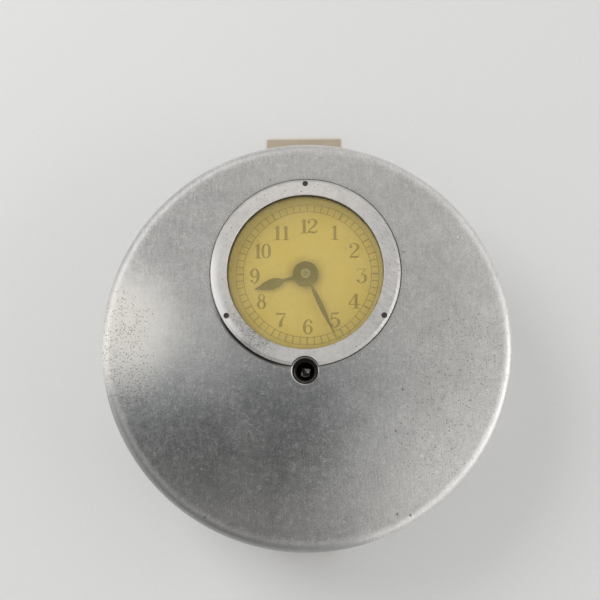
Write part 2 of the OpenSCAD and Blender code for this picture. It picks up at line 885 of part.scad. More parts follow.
// Bell-crank lever: one arm lies against the cam, the other carries the stylus
module marking_lever() {
  color([0.58, 0.58, 0.6])
    at(lever_c)
      rotate([0, 0, lever_rest])
        difference() {
          union() {
            rod(4.6, lever_z, lever_z + lever_t, 48);
            translate([0, 0, lever_z])
              linear_extrude(height = lever_t)
                polygon([[0, -3], [5, -2], [31, 0.2], [32.4, 1.2], [32.4, 2.4],
                         [31.6, lever_half], [0, lever_half]]);
            translate([0, 0, lever_z])
              linear_extrude(height = lever_t)
                hull() {
                  circle(r = 3.2, $fn = 32);
                  translate(polar(stylus_arm, stylus_dir))
                    circle(r = 2.2, $fn = 32);
                }
          }
          rod(1.5 + run_gap, lever_z - 1, lever_z + lever_t + 1, 48);
          at(polar(stylus_arm, stylus_dir))
            rod(stylus_r, lever_z - 1, lever_z + lever_t + 1, 36);
        }
}

module lever_stud() {
  color([0.64, 0.64, 0.65])
    at(lever_c)
      difference() {
        union() {
          rod(3, back_plate_z, lever_z - air_gap, 48);
          rod(1.5, back_plate_z - 1.4, lever_z + lever_t + 0.4, 48);
          rod(2.8, lever_z + lever_t + air_gap, lever_z + lever_t + 1.6, 48);
        }
        translate([-4, -0.4, lever_z + lever_t + 1])
          cube([8, 0.8, 2]);
      }
}

// Bent spring that holds the lever against the cam
module lever_spring() {
  foot = lever_c + [25, -8.5];
  bend_r = 5;
  color([0.45, 0.45, 0.5]) {
    at(foot)
      rod(2, back_plate_z, lever_z + lever_t, 36);
    at(foot + [0, bend_r])
      ring_sector(bend_r - 0.2, bend_r + 0.2, lever_z + 0.3, lever_z + lever_t - 0.3, -90, 170);
  }
}

module marking_stylus() {
  tip = chart_z + chart_t + air_gap;
  at_rest = lever_c + polar(stylus_arm, stylus_dir + lever_rest);
  color([0.72, 0.7, 0.66])
    at(at_rest) {
      rod(stylus_r, tip + 1.4, lever_z + lever_t + 0.6, 36);
      translate([0, 0, tip])
        cylinder(r1 = 0.3, r2 = stylus_r, h = 1.4, $fn = 36);
    }
}

module main_plate() {
  slot_half = stylus_r + 0.8;
  from = stylus_dir - lever_turn / 2 - 1;
  color([0.76, 0.64, 0.36])
    difference() {
      rod(main_plate_r, plate_z, back_plate_z, 144);
      for (a = boss_angles)
        at(polar(boss_r, a))
          rod(1.3, plate_z - 1, back_plate_z + 1, 24);
      at(key_c)
        rod(1.5 + run_gap, plate_z - 1, back_plate_z + 1, 36);
      at(lever_c)
        rod(1.5, plate_z - 1, back_plate_z + 1, 48);
      rod(stud_d / 2, plate_z - 1, back_plate_z + 1, 48);
      at(minute_c)
        rod(minute_arbor_r + run_gap, plate_z - 1, back_plate_z + 1, 36);
      at(barrel_c)
        rod(winding_r + run_gap, plate_z - 1, back_plate_z + 1, 36);
      for (a = pillar_angles)
        at(dial_c + polar(pillar_ring_r, a))
          rod(0.9, plate_z - 1, back_plate_z + 1, 24);
      at(lever_c) {
        ring_sector(stylus_arm - slot_half, stylus_arm + slot_half, plate_z - 1,
          back_plate_z + 1, from, lever_turn + 2);
        for (a = [from, from + lever_turn + 2])
          at(polar(stylus_arm, a))
            rod(slot_half * 0.96, plate_z - 1, back_plate_z + 1, 36);
      }
    }
}

module main_plate_screws() {
  color([0.6, 0.6, 0.6])
    for (a = boss_angles)
      at(polar(boss_r, a), plate_z - 1.4)
        rotate([180, 0, a])
          screw(2.6, 1.4, 1.3, main_plate_t + 6, 0.8);
}

// Stud that the chart group turns on
module chart_stud() {
  color([0.64, 0.64, 0.65])
    difference() {
      union() {
        rod(stud_d / 2, nut_z + 1.4, back_plate_z, 48);
        rod(stud_d / 2 + 1.6, plate_z - 1.5, plate_z, 48);
      }
      rod(0.9, nut_z, nut_z + 5, 24);
    }
}

// Screw that keeps the chart group on its stud
module stud_screw() {
  color([0.6, 0.6, 0.6])
    translate([0, 0, nut_z + 0.4])
      rotate([180, 0, 30])
        screw(stud_d / 2 + 0.9, 1, 0.9, 3.5, 0.7);
}

module chart_wheel() {
  color([0.8, 0.66, 0.34])
    difference() {
      union() {
        spoked_wheel(wheel_points(chart_n, chart_m,
          mesh_phase(chart_pinion_n, chart_n, chart_dir, 0)),
          chart_m * chart_n / 2 - 3, 7, 5, chart_wheel_z, chart_wheel_t, 14);
        rod(5.5, carrier_z + carrier_t, chart_wheel_z + chart_wheel_t, 48);
      }
      rod(stud_d / 2 + run_gap, carrier_z, plate_z, 48);
    }
}

// Spoked disc that the chart lies on, with a threaded nose for its nut
module chart_carrier() {
  nose_r = 4.5;
  color([0.78, 0.78, 0.77])
    difference() {
      union() {
        rod(carrier_d / 2, carrier_z, carrier_z + carrier_t, 96);
        rod(nose_r, nut_z, carrier_z, 48);
      }
      rod(stud_d / 2 + run_gap, nut_z - 1, plate_z, 48);
      rod(stud_d / 2 + 1.2, nut_z - 1, nut_z + 1.8, 48);
      for (i = [0 : 4])
        ring_sector(12, carrier_d / 2 - 4, carrier_z - 1, carrier_z + carrier_t + 1,
          72 * i + 9, 54);
    }
}

module paper_chart() {
  color([0.93, 0.91, 0.84])
    difference() {
      rod(chart_r, chart_z, carrier_z, 96);
      rod(4.6, chart_z - 1, carrier_z + 1, 48);
    }
}

// Knurled nut that holds the chart on its carrier
module chart_nut() {
  color([0.78, 0.64, 0.34])
    difference() {
      rod(7.5, nut_z, chart_z, 72);
      rod(4.5, nut_z - 1, chart_z + 1, 48);
      for (i = [0 : 19])
        at(polar(7.7, 18 * i))
          rod(0.5, nut_z - 1, chart_z + 1, 16);
    }
}

// Holes that both movement plates have for the arbors, and room for the key spindle
module arbor_holes(z1, z2) {
  at(key_c)
    rod(cam_hub_r + 1, z1, z2, 60);
  at(third_c)
    rod(pivot_r + run_gap, z1, z2, 24);
  at(fourth_c)
    rod(pivot_r + run_gap, z1, z2, 24);
  at(escape_c)
    rod(pivot_r + run_gap, z1, z2, 24);
  at(pallet_c)
    rod(pivot_r + run_gap, z1, z2, 24);
  at(balance_c)
    rod(pivot_r + run_gap, z1, z2, 24);
  at(minute_c)
    rod(minute_arbor_r + run_gap, z1, z2, 36);
  at(barrel_c)
    rod(winding_r + run_gap, z1, z2, 36);
}

module movement_back_plate() {
  color([0.82, 0.68, 0.36])
    difference() {
      at(dial_c)
        rod(train_r, back_plate_z, train_z, 120);
      arbor_holes(back_plate_z - 1, train_z + 1);
      at(dial_c) {
        rod(pivot_r + run_gap, back_plate_z - 1, train_z + 1, 24);
        for (a = pillar_angles)
          at(polar(pillar_ring_r, a))
            rod(0.9, back_plate_z - 1, train_z + 1, 24);
      }
    }
}

module movement_front_plate() {
  color([0.82, 0.68, 0.36])
    difference() {
      at(dial_c)
        rod(train_r, front_plate_z, motion_z, 120);
      arbor_holes(front_plate_z - 1, motion_z + 1);
      at(dial_c) {
        rod(centre_arbor_r + run_gap, front_plate_z - 1, motion_z + 1, 36);
        for (a = pillar_angles)
          at(polar(pillar_ring_r, a))
            rod(0.9, front_plate_z - 1, motion_z + 1, 24);
        for (a = dial_foot_angles)
          at(polar(dial_foot_ring_r, a))
            rod(1, front_plate_z - 1, motion_z + 1, 24);
      }
    }
}

// Turned pillars between the movement plates
module movement_pillars() {
  color([0.8, 0.66, 0.34])
    for (a = pillar_angles)
      at(dial_c + polar(pillar_ring_r, a))
        difference() {
          rotate_extrude($fn = 36)
            polygon([[0, train_z], [2, train_z], [2, train_z + 1.2], [1.4, train_z + 2],
                     [1.4, front_plate_z - 2], [2, front_plate_z - 1.2], [2, front_plate_z],
                     [0, front_plate_z]]);
          rod(0.9, train_z - 1, train_z + 3, 24);
          rod(0.9, front_plate_z - 3, front_plate_z + 1, 24);
        }
}

// Screws into both ends of the pillars, the rear ones through the main plate
module movement_screws() {
  color([0.45, 0.46, 0.55])
    for (a = pillar_angles)
      at(dial_c + polar(pillar_ring_r, a)) {
        translate([0, 0, motion_z + 0.8])
          rotate([0, 0, a * 2])
            screw(1.7, 0.8, 0.9, plate_t + 2.4, 0.45);
        translate([0, 0, plate_z - 0.8])
          rotate([180, 0, a * 3])
            screw(1.7, 0.8, 0.9, main_plate_t + plate_t + 2.4, 0.45);
      }
}

// Barrel drum with its teeth and an open top
module barrel() {
  drum_r = barrel_m * barrel_n / 2 - 1;
  color([0.8, 0.66, 0.34])
    at(barrel_c)
      difference() {
        union() {
          translate([0, 0, barrel_z])
            linear_extrude(height = barrel_teeth_t)
              polygon(wheel_points(barrel_n, barrel_m, 0));
          rod(drum_r, barrel_z, barrel_z + barrel_h, 96);
        }
        rod(drum_r - 0.6, barrel_z + 0.6, barrel_z + barrel_h + 1, 96);
        rod(winding_r + run_gap, barrel_z - 1, barrel_z + 1, 36);
      }
}

// Wound mainspring, one strip from the arbor to the barrel wall
module mainspring() {
  drum_in = barrel_m * barrel_n / 2 - 1.6;
  color([0.35, 0.36, 0.45])
    at(barrel_c)
      translate([0, 0, barrel_z + 0.9])
        linear_extrude(height = barrel_h - 1.3)
          polygon(spiral_points(winding_r + 1.5, drum_in - 0.4, 8, 192, 0.3));
}

// Barrel arbor with its square for the winding key behind the main plate
module winding_arbor() {
  square_r = winding_r * 1.2;
  color([0.64, 0.64, 0.65])
    at(barrel_c) {
      rod(winding_r, plate_z - 1.9, barrel_z + 0.7, 36);
      rod(winding_r + 0.9, barrel_z + 0.7, barrel_z + barrel_h, 48);
      rod(winding_r, barrel_z + barrel_h, motion_z, 36);
      rotate([0, 0, 45])
        rod(square_r, carrier_z + carrier_t + 0.6, plate_z - 1.8, 4);
    }
}

// Ratchet teeth, steep on one side
function ratchet_points(n, r1, r2) = [
  for (i = [0 : n - 1], p = [[r1, 0], [r2, 0.04], [r2 - 0.1, 0.2]])
    polar(p[0], 360 / n * (i + p[1]))
];

module ratchet_wheel() {
  color([0.62, 0.62, 0.63])
    at(barrel_c)
      difference() {
        translate([0, 0, plate_z - 1.5])
          linear_extrude(height = 1.2)
            polygon(ratchet_points(24, 4.6, 5.5));
        rod(winding_r, plate_z - 3, plate_z + 1, 36);
      }
}

// Click beside the ratchet wheel
module click() {
  color([0.62, 0.62, 0.63])
    at(click_c)
      difference() {
        union() {
          rod(1.9, plate_z - 1.5, plate_z - 0.3, 36);
          translate([0, 0, plate_z - 1.5])
            linear_extrude(height = 1.2)
              polygon([polar(1.8, 200), polar(5, 133), polar(5.3, 128), polar(1.8, 70)]);
        }
        rod(0.8 + run_gap, plate_z - 3, plate_z + 1, 24);
      }
}

// Pivot screw of the click and the bent wire that presses on it
module click_spring() {
  color([0.6, 0.6, 0.6])
    at(click_c) {
      rod(0.8, plate_z - 1.7, plate_z, 24);
      rod(1.7, plate_z - 2.4, plate_z - 1.7, 36);
      at([6.5, 5.5])
        rod(1.2, plate_z - 1.6, plate_z, 36);
      translate([0, 0, plate_z - 1.3])
        linear_extrude(height = 0.8)
          polygon([[6.5, 6], [6.5, 5.4], [2.4, 5.2], [-1.2, 5.4], [-1.2, 5.8], [2.4, 5.6]]);
    }
}

module centre_wheel() {
  color([0.8, 0.66, 0.34])
    at(dial_c) {
      spoked_wheel(wheel_points(centre_n, centre_m, 0), 8, 2.6, 4, centre_wheel_z, wheel_t);
      pinion(centre_pinion_n, barrel_m,
        mesh_phase(barrel_n, centre_pinion_n, barrel_dir + 180, 0), train_z + 0.3, 2);
      rod(centre_arbor_r, train_z + 0.3, centre_tip_z, 36);
      rod(pivot_r, back_plate_z, train_z + 1, 24);
    }
}

// Train wheel with its pinion on one arbor pivoted between the plates
module train_wheel(n, m, z, rim, pinion_n, pinion_m, phase, pinion_z) {
  spoked_wheel(wheel_points(n, m, 0), rim, 1.8, 4, z, wheel_t);
  pinion(pinion_n, pinion_m, phase, pinion_z, 1.7);
  rod(arbor_r, train_z + 0.3, front_plate_z - 0.3, 24);
  rod(pivot_r, back_plate_z, motion_z, 24);
}

module third_wheel() {
  color([0.8, 0.66, 0.34])
    at(third_c)
      train_wheel(third_n, third_m, third_wheel_z, 7, third_pinion_n, centre_m,
        mesh_phase(centre_n, third_pinion_n, third_dir, 0), centre_wheel_z - 0.5);
}

module fourth_wheel() {
  color([0.8, 0.66, 0.34])
    at(fourth_c)
      train_wheel(fourth_n, fourth_m, fourth_wheel_z, 6.3, fourth_pinion_n, third_m,
        mesh_phase(third_n, fourth_pinion_n, fourth_dir, 0), third_wheel_z - 0.5);
}

// Escape wheel with raked club teeth
module escape_wheel() {
  root_r = escape_tip_r - 1.2;
  color([0.8, 0.7, 0.42])
    at(escape_c) {
      difference() {
        translate([0, 0, escape_wheel_z])
          linear_extrude(height = wheel_t)
            polygon([for (i = [0 : escape_n - 1],
              p = [[root_r, 0], [root_r, 9], [escape_tip_r - 0.15, 17], [escape_tip_r, 20.5]])
              polar(p[0], 360 / escape_n * i + p[1])]);
        for (i = [0 : 3])
          ring_sector(1.3, root_r - 0.7, escape_wheel_z - 1, escape_wheel_z + 2, 90 * i + 12, 66);
      }
      pinion(escape_pinion_n, fourth_m,
        mesh_phase(fourth_n, escape_pinion_n, escape_dir, 0), fourth_wheel_z - 0.5, 1.7);
      rod(0.45, train_z + 0.3, front_plate_z - 0.3, 24);
      rod(pivot_r, back_plate_z, motion_z, 24);
    }
}

// Lever fork with its two pallets standing just clear of the escape wheel
module pallet_fork() {
  reach = norm(escape_c - pallet_c);
  stone_r = escape_tip_r + 0.6;
  toward = pallet_dir + 180;
  color([0.66, 0.66, 0.68])
    at(pallet_c) {
      translate([0, 0, escape_wheel_z]) {
        linear_extrude(height = wheel_t) {
          rotate([0, 0, balance_dir])
            polygon([[0, -0.6], [4.2, -0.35], [5.4, -1], [5.8, -0.9], [5.2, -0.3], [5.2, 0.3],
                     [5.8, 0.9], [5.4, 1], [4.2, 0.35], [0, 0.6]]);
        }
        for (side = [-1, 1])
          rotate([0, 0, toward])
            linear_extrude(height = wheel_t)
              polygon([[-0.5, side * 0.2], [-0.2, side * 1.5],
                       [reach - stone_r * cos(52), side * (stone_r * sin(52) + 0.5)],
                       [reach - stone_r * cos(52) + 0.7, side * (stone_r * sin(52) + 0.3)],
                       [reach - stone_r * cos(52) + 0.5, side * stone_r * sin(54)],
                       [reach - stone_r * cos(42), side * stone_r * sin(42)],
                       [0.6, side * 0.2]]);
      }
      rod(0.9, escape_wheel_z, escape_wheel_z + wheel_t, 24);
      rod(0.45, train_z + 0.3, front_plate_z - 0.3, 24);
      rod(pivot_r, back_plate_z, motion_z, 24);
    }
}

// Balance wheel with two arms and a roller on its staff
module balance_wheel() {
  rim_r = 6.8;
  color([0.82, 0.7, 0.4])
    at(balance_c) {
      difference() {
        rod(rim_r, balance_z, balance_z + 1.2, 72);
        for (i = [0, 1])
          ring_sector(1.4, rim_r - 1, balance_z - 1, balance_z + 2, 180 * i + 12, 156);
      }
      for (a = [30 : 60 : 330])
        rotate([0, 0, a])
          translate([rim_r - 0.2, 0, balance_z + 0.6])
            rotate([0, 90, 0])
              rod(0.35, -0.3, 0.5, 16);
      rod(1, escape_wheel_z, escape_wheel_z + wheel_t, 36);
      rod(arbor_r, train_z + 0.3, front_plate_z - 0.3, 24);
      rod(pivot_r, back_plate_z, motion_z, 24);
    }
}

// Flat hairspring under the balance
module hairspring() {
  color([0.3, 0.34, 0.5])
    at(balance_c)
      translate([0, 0, balance_z - 1])
        linear_extrude(height = 0.5)
          polygon(spiral_points(1, 4.4, 8, 192, 0.12));
}

front_case();
case_wall();
case_bosses();
back_cover();
cover_felt_ring();
hinge_leaf_case();
hinge_leaf_cover();
hinge_pin();
hinge_screws();
cover_leaf_screws();
lock_housing();
lock_plug();
lock_cam();
lock_catch();
strap_loop();
strap_screws();
bezel_ring();
bezel_screws();
crystal();
dial_ring();
dial_plate();
hour_hand();
minute_hand();
hour_wheel();
cannon_pinion();
minute_wheel();
key_bush();
key_spindle();
marking_cam();
spindle_spring();
spindle_bridge();
marking_lever();
lever_stud();
lever_spring();
marking_stylus();
main_plate();
main_plate_screws();
chart_stud();
stud_screw();
chart_wheel();
chart_carrier();
paper_chart();
chart_nut();
movement_back_plate();
movement_front_plate();
movement_pillars();
movement_screws();
barrel();
mainspring();
winding_arbor();
ratchet_wheel();
click();
click_spring();
centre_wheel();
third_wheel();
fourth_wheel();
escape_wheel();
pallet_fork();
balance_wheel();
hairspring();
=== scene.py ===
# %% [markdown]
# # A watchman's clock, finished over its construction model
#
# The clock is a round case of cast aluminium that a guard carries on a strap.
# A small dial looks out of its face, and a station key goes in below the dial.
# Every part of it was constructed first, and comes in here as a fixed frame in
# metres. The frame could be dressed by new meshes all over, but its shapes are
# already right, so this lesson gives them their finishes, and models only the
# print on dial and chart, which the construction leaves out, the felt, and a
# leaf spring.

# %% Load the construction model
import math

import bpy
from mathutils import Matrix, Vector


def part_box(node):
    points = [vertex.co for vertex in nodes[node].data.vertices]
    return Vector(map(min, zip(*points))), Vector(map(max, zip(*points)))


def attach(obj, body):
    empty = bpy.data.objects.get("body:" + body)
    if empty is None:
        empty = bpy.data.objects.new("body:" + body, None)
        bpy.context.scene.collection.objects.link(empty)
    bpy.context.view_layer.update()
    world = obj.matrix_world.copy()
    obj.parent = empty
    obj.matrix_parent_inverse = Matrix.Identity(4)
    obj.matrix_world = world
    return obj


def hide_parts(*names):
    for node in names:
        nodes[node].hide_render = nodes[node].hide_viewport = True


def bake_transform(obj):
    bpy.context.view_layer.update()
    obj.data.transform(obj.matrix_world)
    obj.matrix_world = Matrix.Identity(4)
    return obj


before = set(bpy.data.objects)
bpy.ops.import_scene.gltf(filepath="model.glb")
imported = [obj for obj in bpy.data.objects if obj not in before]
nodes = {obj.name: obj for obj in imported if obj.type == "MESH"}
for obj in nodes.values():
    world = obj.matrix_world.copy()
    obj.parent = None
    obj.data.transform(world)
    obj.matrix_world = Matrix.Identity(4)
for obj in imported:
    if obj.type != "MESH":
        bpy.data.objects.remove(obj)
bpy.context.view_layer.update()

MM = 0.001

# %% [markdown]
# ## Camera
#
# The photograph looks down on the face from about 27 cm, a little from below
# the dial. The place and turn were worked out from the outlines of the case,
# the bezel and the strap loop. A camera can be aimed by a constraint, but plain
# numbers say exactly where it stands.

# %% Camera over the face
CAMERA_PLACE = (8.17, -35.24, 312)
CAMERA_TURN = (9.87, 2.02, 0.13)
SENSOR_WIDTH = 36
LENS = 54
bpy.ops.object.camera_add(
    location=[c * MM for c in CAMERA_PLACE],
    rotation=[math.radians(turn) for turn in CAMERA_TURN],
)
camera = bpy.context.object
camera.name = "camera"
camera.data.sensor_width = SENSOR_WIDTH
camera.data.lens = LENS
camera.data.clip_start = 0.01
bpy.context.scene.camera = camera
bpy.context.scene.view_settings.view_transform = "Standard"
print("camera at", [round(c / MM, 1) for c in camera.location], "mm")

# %% [markdown]
# ## Shader maths as plain expressions
#
# A finish is a net of nodes. Wiring each Math node by hand hides the idea, so
# a small class wraps an output socket, and + - * / on it add the nodes. A
# second class holds one finish while it is made: it adds any other node, and
# has short names for the patterns that every finish here is made of.


# %% Signals
class Signal:
    """An output socket on which + - * / and ** add Math nodes."""

    def __init__(self, tree, socket):
        self.tree = tree
        self.socket = socket

    def maths(self, operation, other, swapped=False):
        """One Math node; swapped puts the other value first."""
        made = self.tree.nodes.new("ShaderNodeMath")
        made.operation = operation
        first, second = (other, self) if swapped else (self, other)
        plug(self.tree, made.inputs[0], first)
        plug(self.tree, made.inputs[1], second)
        return Signal(self.tree, made.outputs[0])

    def __add__(self, other):
        return self.maths("ADD", other)

    __radd__ = __add__

    def __mul__(self, other):
        return self.maths("MULTIPLY", other)

    __rmul__ = __mul__

    def __sub__(self, other):
        return self.maths("SUBTRACT", other)

    def __rsub__(self, other):
        return self.maths("SUBTRACT", other, swapped=True)

    def __truediv__(self, other):
        return self.maths("DIVIDE", other)

    def __pow__(self, other):
        return self.maths("POWER", other)


def plug(tree, socket, value):
    """Links a signal to a socket, or sets a plain value on it."""
    if isinstance(value, Signal):
        tree.links.new(value.socket, socket)
    elif isinstance(value, (tuple, list)) and len(value) == 3 and socket.type == "RGBA":
        socket.default_value = (*value, 1)
    else:
        socket.default_value = value


# %% Finishes
class Finish:
    """One material while it is made."""

    def __init__(self, name):
        self.material = bpy.data.materials.new(name)
        self.material.use_nodes = True
        self.tree = self.material.node_tree
        self.tree.nodes.clear()
        self.place = self.node("TexCoord", out="Object")

    def node(self, kind, settings=None, sockets=None, out=0):
        """Adds a node: its settings first, then its sockets. Returns one output."""
        made = self.tree.nodes.new("ShaderNode" + kind)
        for name, value in (settings or {}).items():
            setattr(made, name, value)
        for name, value in (sockets or {}).items():
            found = [s for s in made.inputs if name in (s.identifier, s.name)]
            plug(self.tree, found[0], value)
        if isinstance(out, str):
            out = [s.identifier for s in made.outputs].index(out)
        return Signal(self.tree, made.outputs[out])

    def noise(self, size, detail=2, rough=0.5, at=None, out="Fac"):
        """Soft clouds whose blobs are about size millimetres."""
        sockets = {"Vector": at or self.place, "Scale": 1 / (size * MM)}
        sockets.update({"Detail": detail, "Roughness": rough})
        return self.node("TexNoise", sockets=sockets, out=out)

    def cells(self, size, at=None):
        """Scattered dots: the distance to the nearest, and a chance value of its own."""
        sockets = {"Vector": at or self.place, "Scale": 1 / (size * MM)}
        away = self.node("TexVoronoi", sockets=sockets, out="Distance")
        chance = Signal(self.tree, away.socket.node.outputs["Color"])
        return away, self.node("SeparateColor", sockets={"Color": chance}, out="Red")

    def step(self, value, low, high):
        """0 below low and 1 above high, with a soft rise; low may be the larger."""
        sockets = {"Value": value, "From Min": low, "From Max": high}
        return self.node("MapRange", {"interpolation_type": "SMOOTHSTEP"}, sockets)

    def mix(self, factor, first, second):
        """The first colour where factor is 0, the second where it is 1."""
        sockets = {"Factor_Float": factor, "A_Color": first, "B_Color": second}
        return self.node("Mix", {"data_type": "RGBA"}, sockets, out="Result_Color")

    def turned(self, angle, squeeze):
        """Object coordinates turned about Z by angle and squeezed, for brushed lines."""
        turn = (0, 0, math.radians(angle))
        sockets = {"Vector": self.place, "Rotation": turn, "Scale": squeeze}
        return self.node("Mapping", {"vector_type": "TEXTURE"}, sockets)

    def warped(self, size, reach):
        """Object coordinates pushed about by noise, so that a pattern on them is uneven."""
        sway = self.noise(size, 2, out="Color")
        sockets = {"Vector": sway, "Vector_001": (reach * MM,) * 3, "Vector_002": self.place}
        return self.node("VectorMath", {"operation": "MULTIPLY_ADD"}, sockets, out="Vector")

    def axes(self):
        """The three object coordinates in millimetres."""
        split = self.node("SeparateXYZ", sockets={"Vector": self.place}, out="X")
        outputs = split.socket.node.outputs
        return [Signal(self.tree, outputs[n]) / MM for n in range(3)]

    def radius(self, centre):
        """The distance from an axis along Z, in millimetres."""
        x, y, _ = self.axes()
        return ((x - centre[0]) ** 2 + (y - centre[1]) ** 2) ** 0.5

    def spot(self, x, y, z, inner, outer):
        """1 within inner millimetres of a point, fading to 0 at outer."""
        sockets = {"Vector": self.place, "Vector_001": (x * MM, y * MM, z * MM)}
        away = self.node("VectorMath", {"operation": "DISTANCE"}, sockets, out="Value")
        return self.step(away, outer * MM, inner * MM)

    def bump(self, height, depth, under=None):
        """Relief from a height of 0 to 1 that is depth millimetres deep."""
        sockets = {"Height": height, "Distance": depth * MM, "Strength": 1.0}
        if under:
            sockets["Normal"] = under
        return self.node("Bump", sockets=sockets)

    def surface(self, color, metallic=0.0, roughness=0.5, normal=None, **constants):
        """The shader at the end, with plain values on its own sockets."""
        sockets = {"Base Color": color, "Metallic": metallic, "Roughness": roughness}
        if normal:
            sockets["Normal"] = normal
        sockets.update({name.replace("_", " "): v for name, v in constants.items()})
        shader = self.node("BsdfPrincipled", sockets=sockets)
        return self.output(shader)

    def output(self, shader):
        """Ends the net in its output."""
        end = self.tree.nodes.new("ShaderNodeOutputMaterial")
        self.tree.links.new(shader.socket, end.inputs["Surface"])
        return self.material


def dress(finish, *names):
    """Gives a finish to construction nodes, in the slots that they have."""
    for name in names:
        for slot in nodes[name].material_slots:
            slot.material = finish
    print(finish.name, "on", len(names), "pieces")


# %% [markdown]
# ## Floor, light and what the metal mirrors
#
# The clock lies on its back on a plain pale floor. Seen from below, the floor
# lets the eye through, so the back can be seen too. The world gives most of
# the light and four large soft lamps the rest, one of them from below. Satin
# metal shows what stands opposite it more than any lamp, so a grey card hangs
# above the face, as in a studio: bright to the left, dark over the lower left,
# mid grey to the right. Only mirrored rays see it, so it throws no shadow.

# %% World
WORLD_LIGHT = 0.52
world = bpy.data.worlds.new("studio")
bpy.context.scene.world = world
world.use_nodes = True
background = world.node_tree.nodes["Background"]
background.inputs["Color"].default_value = (1, 1, 1, 1)
background.inputs["Strength"].default_value = WORLD_LIGHT
print("world light", WORLD_LIGHT)


# %% Floor
def stage_plane(name, size, z):
    """A level square, its height in the mesh."""
    bpy.ops.object.select_all(action="DESELECT")
    bpy.ops.mesh.primitive_plane_add(size=size, location=(0, 0, z))
    plane = bpy.context.object
    plane.name = name
    bpy.ops.object.transform_apply(location=True)
    return plane


FLOOR_SIZE = 4
FLOOR_Z = -0.15 * MM
floor = stage_plane("floor", FLOOR_SIZE, FLOOR_Z)
look = Finish("pale_floor")
speckle = look.noise(1.2, 3)
paint = look.mix(speckle, (0.80, 0.80, 0.79), (0.84, 0.84, 0.83))
matt = look.node(
    "BsdfPrincipled",
    sockets={"Base Color": paint, "Roughness": 0.7, "Normal": look.bump(speckle, 0.02)},
)
see_through = look.node("BsdfTransparent")
from_below = look.node("NewGeometry", out="Backfacing")
to_lamp = look.node("LightPath", out="Is Shadow Ray")
open_side = look.node(
    "Math", {"operation": "MAXIMUM"}, {"Value": from_below, "Value_001": to_lamp}
)
sides = look.node(
    "MixShader", sockets={"Fac": open_side, "Shader": matt, "Shader_001": see_through}
)
floor.data.materials.append(look.output(sides))
print("floor", FLOOR_SIZE, "m wide")


# %% Lamps
LIT_MIDDLE = Vector((0, 0, 0.02))


def soft_lamp(name, place, size, power):
    """A square lamp that faces the middle of the clock; place and size are in metres."""
    bpy.ops.object.light_add(type="AREA", location=place)
    lamp = bpy.context.object
    lamp.name = name
    lamp.data.size = size
    lamp.data.energy = power
    aim = LIT_MIDDLE - Vector(place)
    lamp.rotation_euler = aim.to_track_quat("-Z", "Y").to_euler()
    lamp.visible_camera = False
    print(name, "power", power)


soft_lamp("lamp_upper_left", (-0.50, 0.42, 0.62), 0.45, 2.4)
soft_lamp("lamp_left", (-0.85, -0.05, 0.34), 0.80, 1.2)
soft_lamp("lamp_right", (0.80, -0.10, 0.32), 0.70, 1.9)
soft_lamp("lamp_under", (0.05, -0.25, -0.65), 0.50, 1.8)

# %% Grey card over the face
CARD_SIZE = 3
CARD_Z = 314 * MM
MID_GREY = 0.44
DARK_DEPTH = 0.42
DARK_SLOPE = 0.18
LEFT_LIGHT = 0.52
LEFT_SLOPE = 0.6
# Each change of the light: how much, then from where to where it comes in along
# x and along y, in millimetres; None is everywhere
CARD_CHANGES = [
    (0.10, None, (100, 145)),
    (-0.17, (-30, -80), (55, 90)),
    (0.24, (75, 130), None),
    (0.20, (50, -20), (-30, -90)),
    (0.26, (5, 50), (20, -50)),
    (0.05, (50, -20), (-110, -260)),
    (0.25, (250, 900), None),
]
card = stage_plane("grey_card", CARD_SIZE, CARD_Z)
look = Finish("grey_card")
x, y, _ = look.axes()
slope = y - DARK_SLOPE * x
dark_side = look.step(slope, 50, 18) * look.step(x, 50, 0)
left_glow = look.step(y + LEFT_SLOPE * (x + 109), 85, 25) * look.step(slope, 20, 42)
glow = MID_GREY - DARK_DEPTH * dark_side + LEFT_LIGHT * left_glow
for amount, along_x, along_y in CARD_CHANGES:
    change = amount
    if along_x:
        change = change * look.step(x, *along_x)
    if along_y:
        change = change * look.step(y, *along_y)
    glow = glow + change
cool = dark_side * look.step(y, -60, -5) * look.step(x, -200, -150)
tint = look.mix(cool, (1.0, 0.985, 0.965), (0.62, 0.86, 1.0))
light = look.node("Emission", sockets={"Color": tint, "Strength": glow})
card.data.materials.append(look.output(light))
card.visible_camera = card.visible_diffuse = card.visible_shadow = False
card.visible_transmission = False
print("grey card with", len(CARD_CHANGES), "changes of light")

# %% [markdown]
# ## Cast aluminium
#
# The case is sand-cast aluminium, turned smooth and then carried for years. It
# is satin and a little cloudy. Small dark pores from the casting show at the
# left and right of the face, and there are nicks, fine scratches, dirt in the
# seat round the bezel, and a ring worn by the station keys round their hole.
# Painted light is added in the colour too: a shadow over the bezel's seat at
# its lower left, shade inside the key hole, a highlight on the hole's rim, a
# cream highlight at the left of the face, and shade that greys the rounding of
# the edge at the left. A painted picture could hold all that, but noise and
# cells on the object's own coordinates stay sharp from near, and a short list
# of places holds the marks that stand alone.

# %% Places of the single marks on the face
DIAL_X, DIAL_Y = 0.0, 21.4
KEY_Y = -9.5
FACE = 38
CASE_R = 63.5
SEAT_R = 30
KEY_HOLE_R = 4
